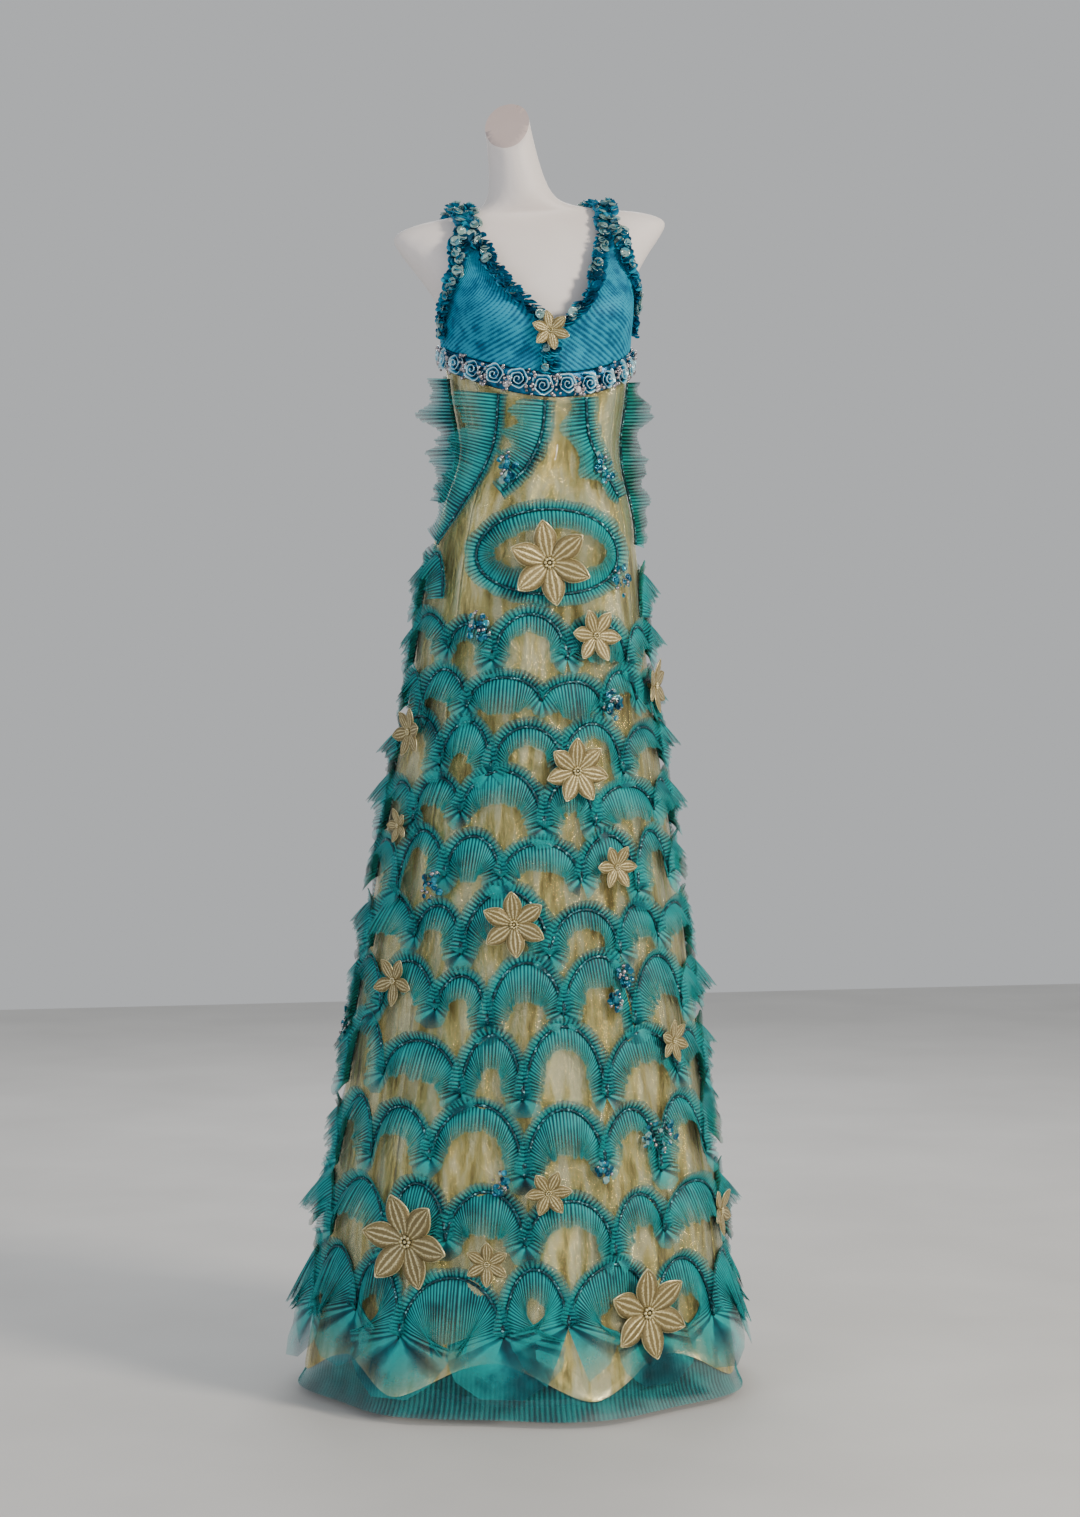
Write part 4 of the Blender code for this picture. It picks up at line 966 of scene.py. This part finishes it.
silver, tree, shader, coords = new_material(
    "silver_plated_beads", {"Metallic": 1.0, "Roughness": 0.22})
tarnish = node(tree, "ShaderNodeTexNoise", {"Vector": coords, "Scale": 300.0, "Detail": 2.0})
node(tree, "ShaderNodeValToRGB", {"Fac": tarnish}, shader.inputs["Base Color"],
     [(0.35, "#8E8588"), (0.6, "#CFC7C9"), (0.75, "#E9DAD8")])


def scatter_balls(name, places, radii, finish, detail=2):
    """Small round beads at places, as one piece."""
    bpy.ops.object.select_all(action="DESELECT")
    bpy.ops.mesh.primitive_ico_sphere_add(subdivisions=detail, radius=1)
    ball = bpy.context.object
    skin = np.array([vertex.co for vertex in ball.data.vertices])
    sides = np.array([face.vertices[:] for face in ball.data.polygons])
    bpy.data.objects.remove(ball)
    places, radii = np.asarray(places), np.asarray(radii)
    verts = (places[:, None, :] + skin[None] * radii[:, None, None]).reshape(-1, 3)
    faces = (sides[None] + (np.arange(len(places)) * len(skin))[:, None, None]).reshape(-1, 3)
    mesh = bpy.data.meshes.new(name)
    mesh.from_pydata(verts.tolist(), [], faces.tolist())
    mesh.materials.append(finish)
    mesh.shade_smooth()
    return new_piece(mesh)


def frame_at(angle, height, out):
    """Place on the wall with its level direction out, as vectors."""
    return Vector(wall(angle, height, out)), Vector(outward(angle, height))


def rose(radius, seed):
    """Ribbon wound into a rose, face up at the origin: the inner turns stand higher."""
    turn = np.linspace(0, 2 * np.pi * ROSE_TURNS, ROSE_STEPS)[None, :]
    share = np.linspace(0, 1, ROSE_STEPS)[None, :]
    t = np.linspace(0, 1, ROSE_ROWS)[:, None]
    wave = 1 + 0.06 * np.sin(5 * turn + seed) * (0.3 + share)
    reach = radius * (0.10 + 0.9 * share) * wave * (0.60 + 0.40 * t)
    height = ROSE_FOOT + ROSE_DEPTH * (1 - 0.55 * share ** 2) * t
    points = np.stack([reach * np.cos(turn), reach * np.sin(turn), height], axis=-1)
    # The edge value paints the ribbon's top lighter and its foot darker, as painted highlight and
    # painted shade.
    return grid_piece("rose", points, ribbon, RIBBON_THICK, layers={"edge": 0.9 * t - 0.1})


angle = np.linspace(0, 360, STRIP_COLUMNS, endpoint=False)[None, :]
edge = np.array([0.0, 0.04, 0.3, 0.6, 0.9, 1.0])[:, None]
bulge = np.sqrt(np.maximum(0.0, 1 - (2 * edge - 1) ** 2))
fold_lines = 0.4 * MM * np.sin(np.radians(angle * 40)) * bulge
points = wall(angle, band_middle(angle) + (edge - 0.5) * BAND_HEIGHT,
              -0.6 * MM + 2.2 * MM * bulge + fold_lines)
strip = grid_piece("ribbon_strip", points, ribbon, STRIP_THICK, closed=True, layers={"edge": 0.15})
roses = []
pearls, pearl_sizes, beads, bead_sizes = [], [], [], []
draw = random.Random(11)
for k in range(ROSE_COUNT):
    angle = 360 * (2 * k + 1) / (2 * ROSE_COUNT)
    size = ROSE_RADIUS * draw.uniform(0.88, 1.12)
    high = float(band_middle(angle)) + draw.uniform(-3, 3) * MM
    centre, out = frame_at(angle, high, BAND_THICK - ROSE_SUNK)
    flower = rose(size, k)
    lay(flower, centre, out, draw.uniform(0, 6.3))
    roses.append(flower)
    between = angle + 180 / ROSE_COUNT
    if k % 3 == 0:
        pearls.append(wall(between, float(band_middle(between)) - 7 * MM, 5 * MM))
        pearl_sizes.append(PEARL_RADIUS)
    for _ in range(BEADS_BETWEEN):
        drop = draw.uniform(-15, 16) * MM
        beads.append(wall(between + draw.uniform(-3.2, 3.2), float(band_middle(between)) + drop,
                          draw.uniform(4.5, 10.0) * MM))
        bead_sizes.append(BEAD_RADIUS * draw.uniform(0.6, 1.25))
band = join([strip] + roses, "ribbon_rose_band")
pearl_piece = scatter_balls("band_pearls", pearls, pearl_sizes, pearl)
bead_piece = scatter_balls("band_silver_beads", beads, bead_sizes, silver)
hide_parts("bust_band")
for piece in (band, pearl_piece, bead_piece):
    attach(piece, "root")

# Straps: the same voile gathered tightly across a ribbon, from the cups over the shoulders to the
# back. Each solid's outer face is copied, cut finely and ruched.
STRAP_CUTS = 5
STRAP_RUCHES = 420
STRAP_RUCHE_RISE = 1.2 * MM
# Each strap bends round a level line over the shoulder, and lies this far from the middle.
STRAP_BEND = (0.009, 1.375)
STRAP_SIDE = 0.088

for side, word in ((-1, "left"), (1, "right")):
    strap = copy_of("strap_" + word, "ruched_strap_" + word)
    work = bmesh.new()
    work.from_mesh(strap.data)
    bmesh.ops.triangulate(work, faces=work.faces)
    bmesh.ops.subdivide_edges(work, edges=work.edges[:], cuts=STRAP_CUTS, use_grid_fill=True)
    ruche = work.verts.layers.float.new("pleat")
    bmesh.ops.recalc_face_normals(work, faces=work.faces)
    work.normal_update()
    for vertex in work.verts:
        centre = Vector((vertex.co.x, *STRAP_BEND))
        turn = math.atan2(vertex.co.z - STRAP_BEND[1], STRAP_BEND[0] - vertex.co.y)
        across = vertex.co.x - side * STRAP_SIDE
        shift = 1.3 * math.sin(380 * across + 5 * turn)
        wave = abs(math.cos(0.5 * STRAP_RUCHES * 0.09 * turn + shift))
        # This value paints the ruche crowns lighter and the valleys darker, as painted highlight and
        # painted shade.
        vertex[ruche] = wave
        if vertex.normal.dot(vertex.co - centre) > 0:
            vertex.co += vertex.normal * STRAP_RUCHE_RISE * (wave - 0.3)
    work.to_mesh(strap.data)
    work.free()
    strap.data.materials.clear()
    strap.data.materials.append(voile)
    strap.data.shade_smooth()
    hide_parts("strap_" + word)
    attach(strap, "root")

# Trims: narrow gathered ruffles of the voile along the neckline, the straps and the armholes, with
# translucent paillettes hung from them by one hole. Some are mint, some a smoky green.
# Each trim: name, place across the cup, paillettes, lower ends on the left and on the right.
TRIMS = [("neck_trim", 0.04, 26, 0.05, 2.0), ("armhole_trim", 0.96, 34, 0.8, 0.8)]
TRIM_POINTS = 400
TRIM_ROWS = 5
TRIM_RUFFLE = 11 * MM
TRIM_PLEAT = 5.5 * MM
TRIM_STRANDS = 3
TRIM_STRAND_STEP = 3.0 * MM
TRIM_WOBBLE_LENGTH = 9 * MM
STRAP_TRIM_SIDE = 0.009
PAILLETTE_RADIUS = 5.9 * MM
PAILLETTE_SIDES = 10

paillette, tree, shader, coords = new_material(
    "translucent_mint_paillettes", {"Alpha": 0.72, "Roughness": 0.12, "Coat Weight": 0.5})
tone = node(tree, "ShaderNodeTexVoronoi", {"Vector": coords, "Scale": 130.0})
pick = node(tree, "ShaderNodeSeparateColor", {"Color": tone.outputs["Color"]})
node(tree, "ShaderNodeValToRGB", {"Fac": pick}, shader.inputs["Base Color"],
     [(0.0, "#5F7F7C"), (0.35, "#8DB5AE"), (0.7, "#B9D6CF"), (0.9, "#4FA6B8")])


def discs(name, places, facings, radii, finish, draw):
    """Thin dished discs at places, each tipped a little off its facing."""
    turn = np.linspace(0, 2 * np.pi, PAILLETTE_SIDES, endpoint=False)
    verts, faces = [], []
    for place, facing, radius in zip(places, facings, radii):
        facing = unit(np.asarray(facing) + draw.uniform(-0.45, 0.45, 3))
        level = unit(np.cross(facing, [0.2, 0.1, 0.97]))
        other = np.cross(facing, level)
        rim = (level[None] * np.cos(turn)[:, None] + other[None] * np.sin(turn)[:, None]) * radius
        start = len(verts)
        for lift in (0.10, -0.04):
            verts += list(place + rim + facing * 0.22 * radius + facing * lift * radius)
            verts += list(place + rim * 0.62 + facing * lift * radius)
            verts.append(place + facing * (lift - 0.02) * radius)
        n = PAILLETTE_SIDES
        for layer in (0, 2 * n + 1):
            a, b, c = start + layer, start + layer + n, start + layer + 2 * n
            for i in range(n):
                j = (i + 1) % n
                quad = (a + i, a + j, b + j, b + i)
                fan = (b + i, b + j, c)
                faces += [quad, fan] if layer == 0 else [quad[::-1], fan[::-1]]
        for i in range(n):
            j = (i + 1) % n
            faces.append((start + i, start + 2 * n + 1 + i, start + 2 * n + 1 + j, start + j))
    mesh = bpy.data.meshes.new(name)
    mesh.from_pydata([tuple(v) for v in verts], [], faces)
    mesh.materials.append(finish)
    mesh.shade_smooth()
    return new_piece(mesh)


def cup_line(side, part, low):
    """Points and facings along a cup, from its upper end down."""
    level = np.linspace(CUP_TOP, low, TRIM_POINTS)
    angle, height = cup_spot(side, part, level)
    points = wall(angle, height, cup_out(angle, height))
    beyond, high = cup_spot(side, part + 0.03, level)
    across = unit(wall(beyond, high, cup_out(beyond, high)) - points)
    along = unit(np.gradient(points, axis=0))
    facing = unit(np.cross(across, along) * -side)
    facing = facing * np.sign((facing * outward(angle, height)).sum(axis=1))[:, None]
    return points, facing, across, along


def strap_line(side, across):
    """Points and facings along a strap, from its back end to its front one."""
    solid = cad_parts["strap_left" if side < 0 else "strap_right"]
    skin = np.array([vertex.co for vertex in solid.data.vertices])
    turn = np.radians(np.linspace(172, 42, TRIM_POINTS // 2))
    facing = np.stack([0 * turn, -np.cos(turn), np.sin(turn)], axis=-1)
    behind, high = STRAP_BEND
    where = np.arctan2(skin[:, 2] - high, behind - skin[:, 1])
    far = np.hypot(skin[:, 2] - high, behind - skin[:, 1])
    order = np.argsort(where)
    distance = np.interp(turn, where[order], far[order])
    points = np.stack([np.full(len(turn), side * STRAP_SIDE + across),
                       behind - np.cos(turn) * distance, high + np.sin(turn) * distance], axis=-1)
    along = unit(np.gradient(points, axis=0))
    return points, facing, np.tile([1.0, 0.0, 0.0], (len(turn), 1)) * np.sign(across), along


def gathered(name, line, width, lean, seed):
    """Narrow ruffle that stands on a run of points, with its pleats folded unevenly."""
    points, facing, across, along = line
    lengths = lengths_along(points)
    knots = max(4, int(lengths[-1] / TRIM_WOBBLE_LENGTH))
    wobble = wobble_along(lengths, knots, np.random.default_rng(seed))
    phase = (2 * np.pi * (lengths / TRIM_PLEAT + 0.8 * wobble))[None, :]
    t = np.linspace(0, 1, TRIM_ROWS)[:, None]
    side_step = (lean + 0.75 * np.cos(phase) + 0.3 * wobble) * width * t
    rise = width * t * (0.75 + 0.25 * np.sin(1.7 * phase + wobble)) + 0.6 * MM
    drift = 0.45 * width * t * np.sin(phase)
    grid = (points[None] + across[None] * side_step[..., None] + facing[None] * rise[..., None]
            + along[None] * drift[..., None])
    # The pleat value paints the crowns lighter and the folds darker, as painted highlight and painted
    # shade.
    return grid_piece(name, grid, voile, layers={"pleat": 0.5 + 0.5 * np.sin(phase) + 0 * t})


for side, word in ((-1, "left"), (1, "right")):
    for index, (trim, part, count, *ends) in enumerate(TRIMS):
        draw = np.random.default_rng(7 + 10 * index + side)
        edge = cup_line(side, part, ends[0 if side < 0 else 1])
        strap_edge = strap_line(side, (-STRAP_TRIM_SIDE if index == 0 else STRAP_TRIM_SIDE) * side)
        strands = []
        for strand in range(TRIM_STRANDS):
            points, facing, across, along = edge
            moved = (points + across * (strand - 1) * TRIM_STRAND_STEP, facing, across, along)
            strands.append(gathered("strand", moved, TRIM_RUFFLE * draw.uniform(0.75, 1.1),
                                    0.25 * (strand - 1), int(draw.integers(1000))))
        strands.append(gathered("strand", strap_edge, TRIM_RUFFLE * 0.8, 0.2,
                                int(draw.integers(1000))))
        ruffles = join(strands, f"gathered_{trim}_{word}")
        places, facings = [], []
        for points, facing, across, along in (edge, strap_edge):
            for spot in draw.integers(0, len(points), count):
                lift = draw.uniform(3, 9) * MM
                places.append(points[spot] + facing[spot] * lift
                              + across[spot] * draw.uniform(-6, 6) * MM)
                facings.append(facing[spot])
        sizes = PAILLETTE_RADIUS * draw.uniform(0.75, 1.15, len(places))
        hung = discs(f"paillettes_{trim}_{word}", places, facings, sizes, paillette, draw)
        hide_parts(f"{trim}_{word}")
        for piece in (ruffles, hung):
            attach(piece, "root")

# Clusters of small foil sequins in dark teal and of silver-plated glass beads, sewn by hand over
# the frills where rows meet. Each cluster: angle, height, half width and half height.
CLUSTERS = [
    (-31, 1140, 10, 20), (33, 1138, 10, 20), (38, 1003, 16, 20), (-36, 943, 15, 24),
    (26, 849, 12, 20), (-47, 632, 15, 20), (22, 523, 9, 14), (18, 494, 9, 12), (32, 329, 30, 24),
    (10, 296, 10, 16), (-19, 286, 10, 16), (150, 1000, 14, 22), (208, 920, 12, 20),
    (172, 780, 13, 20), (140, 640, 12, 20), (216, 560, 14, 22), (176, 330, 24, 22),
    (100, 700, 12, 20), (262, 450, 14, 20),
]
CLUSTER_PAILLETTES = 18
CLUSTER_BEADS = 7
CLUSTER_OFF = (9, 17)

sequin, tree, shader, coords = new_material(
    "dark_teal_sequin_foil", {"Metallic": 0.5, "Roughness": 0.15})
tone = node(tree, "ShaderNodeTexVoronoi", {"Vector": coords, "Scale": 150.0})
pick = node(tree, "ShaderNodeSeparateColor", {"Color": tone.outputs["Color"]})
node(tree, "ShaderNodeValToRGB", {"Fac": pick}, shader.inputs["Base Color"],
     [(0.0, "#0C3C56"), (0.45, "#1B6E8C"), (0.75, "#2F9DB0"), (0.9, "#9FC8BE")])

places, facings, beads = [], [], []
draw = np.random.default_rng(5)
for angle, height, half_width, half_height in CLUSTERS:
    for item in range(CLUSTER_PAILLETTES + CLUSTER_BEADS):
        turn = draw.uniform(0, 6.283)
        reach = math.sqrt(draw.uniform(0, 1))
        high = (height + half_height * reach * math.sin(turn)) * MM
        radius = sections(high)[0]
        beside = angle + math.degrees(half_width * reach * math.cos(turn) / radius)
        spot, out = frame_at(beside, high, draw.uniform(*CLUSTER_OFF) * MM)
        if item < CLUSTER_PAILLETTES:
            places.append(np.array(spot))
            facings.append(out)
        else:
            beads.append(np.array(spot))
sizes = PAILLETTE_RADIUS * draw.uniform(0.42, 0.8, len(places))
sequins = discs("paillettes_skirt", places, facings, sizes, sequin, draw)
sizes = BEAD_RADIUS * draw.uniform(0.6, 1.2, len(beads))
bead_piece = scatter_balls("silver_beads_skirt", beads, sizes, silver)
for piece in (sequins, bead_piece):
    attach(piece, "root")
